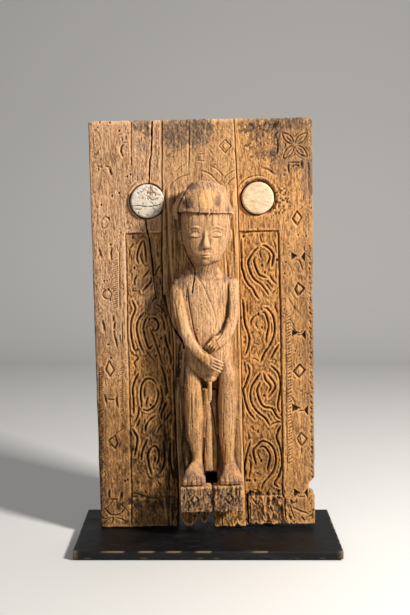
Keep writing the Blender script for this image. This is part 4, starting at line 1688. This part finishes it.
inlay("inlay_left", "left_disc", *LEFT_INLAY, 401, True)
inlay("inlay_right", "right_disc", *RIGHT_INLAY, 411, False)


# The base board and the battens on the door's back.

def board_piece(name, node, corners, material, slot, body, round_by, cell, wave, leaning):
    """A board with softened edges and a slightly uneven surface, which keeps inside its corners."""
    points, faces = block(*corners, cell, round_by)
    mesh = new_mesh(name, points, faces, 1e-5 * max(1, np.abs(points).max()))
    points, normals = read_points(mesh), normals_of(mesh)
    px, py, pz = points.T
    uneven = wave * (0.5 + 0.5 * noise(px + py, pz + 0.7 * py, 30, 30, 501))
    uneven += 0.5 * wave * (1 + noise(px, pz + py, 120 if leaning else 7, 2.2 if leaning else 7, 502))
    points = points - normals * uneven[:, None]
    write_points(mesh, to_world(*points.T) if leaning else points / 1000)
    low, high = np.array(corners[::2]), np.array(corners[1::2])
    near_edge = np.sort(np.minimum(points - low, high - points), axis=1)[:, 1]
    rubbed = ramp(1.6 - near_edge, 1.6) * ramp(noise(px, pz + py, 16, 5, 503) - 0.35, 0.4)
    corner = np.exp(-((np.abs(px) - high[0]) / 7) ** 2 - ((py - low[1]) / 7) ** 2)
    add_piece(name, mesh, material, body, slot, [node], 0 if leaning else rubbed * 0.8 + 0.7 * corner)


BASE_CORNERS = (-267.5, 267.5, -132.5, 132.5, 3, 19)
BATTEN_HALF, BATTEN_THICK, BATTEN_TALL = 200, 24, 56
BATTENS = [("back_batten_upper", "upper_batten", 640), ("back_batten_lower", "lower_batten", 108)]
board_piece("black_base_board", "base_plate", BASE_CORNERS, base_black, "black_base", "stand",
            round_by=1.4, cell=4.0, wave=0.06, leaning=False)
for name, node, z in BATTENS:
    corners = (-BATTEN_HALF, BATTEN_HALF, BACK_Y, BACK_Y + BATTEN_THICK)
    corners += (z - BATTEN_TALL / 2, z + BATTEN_TALL / 2)
    board_piece(name, node, corners, batten_wood, "batten_wood", "door",
                round_by=2.0, cell=3.0, wave=0.35, leaning=True)


# Finishes of the pieces that keep their own shape.

FINISHES = {
    peg_wood: ["left_seam_dowels", "right_seam_dowels", "upper_batten_pegs", "lower_batten_pegs"],
    steel_black: ["left_sleeve", "right_sleeve", "left_post", "right_post", "left_flange", "right_flange"],
    screw_metal: ["sleeve_screws", "flange_screws"],
    rubber: ["base_pads"],
}
for material, names in FINISHES.items():
    for name in names:
        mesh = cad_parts[name].data
        mesh.materials.clear()
        mesh.materials.append(material)


# Floor, light and camera.

def show_object(name, data):
    """An object for the given mesh, lamp or camera, in the scene."""
    shown = bpy.data.objects.new(name, data)
    bpy.context.scene.collection.objects.link(shown)
    return shown


def stage_floor():
    """A pale floor that curves up into a backdrop."""
    bend = [(2.2 + 1.2 * math.sin(t), 1.2 - 1.2 * math.cos(t)) for t in np.linspace(0, math.pi / 2, 24)]
    profile = [(-5, 0)] + bend + [(3.4, 5)]
    points = np.array([(x, y, z) for y, z in profile for x in (-7, 7)])
    faces = [(2 * i, 2 * i + 1, 2 * i + 3, 2 * i + 2) for i in range(len(profile) - 1)]
    mesh = bpy.data.meshes.new("floor")
    mesh.from_pydata(points.tolist(), [], faces)
    mesh.shade_smooth()
    # The camera and gloss see it pale, and the object gets less light back from it.
    s = Shader("pale_floor")
    rays = s.tree.nodes.new("ShaderNodeLightPath")
    seen = s.math("MAXIMUM", rays.outputs["Is Camera Ray"], rays.outputs["Is Glossy Ray"])
    color = s.mix(seen, srgb(140, 139, 137), srgb(232, 230, 226))
    mesh.materials.append(s.finish(color, 0.9, specular=0.1))
    floor = show_object("floor", mesh)


def lamp(name, at, aim, size, watts, color=(1, 1, 1)):
    """A square lamp at one place, turned to another."""
    light = bpy.data.lights.new(name, "AREA")
    light.shape = "SQUARE"
    light.size = size
    light.energy = watts
    light.color = color
    holder = show_object(name, light)
    holder.location = at
    holder.rotation_euler = (Vector(aim) - Vector(at)).to_track_quat("-Z", "Y").to_euler()


def studio_world():
    """A weak bluish light from all sides."""
    world = bpy.data.worlds.new("studio")
    bpy.context.scene.world = world
    world.use_nodes = True
    world.node_tree.nodes["Background"].inputs["Color"].default_value = (0.9, 0.93, 1.0, 1)
    world.node_tree.nodes["Background"].inputs["Strength"].default_value = 0.16


def add_camera():
    """The camera that took the photograph."""
    camera = bpy.data.cameras.new("camera")
    camera.sensor_fit = "VERTICAL"
    camera.sensor_height = SENSOR_HEIGHT
    camera.lens = SENSOR_HEIGHT * FOCAL_PIXELS / IMAGE_HEIGHT
    camera.clip_end = 50
    viewer = show_object("camera", camera)
    viewer.location = [v / 1000 for v in CAMERA_AT]
    viewer.rotation_euler = (math.pi / 2 - PITCH, 0, 0)
    bpy.context.scene.camera = viewer


stage_floor()
lamp("key", (1.9, -1.5, 1.9), (0, 0, 0.45), 0.4, 118, (1.0, 0.97, 0.93))
lamp("fill", (-1.6, -3.0, 1.4), (0, 0, 0.45), 2.0, 10)
lamp("top", (0.2, 0.8, 2.6), (0, 0, 0.4), 1.4, 12)
studio_world()
add_camera()
bpy.context.scene.view_settings.view_transform = "Standard"
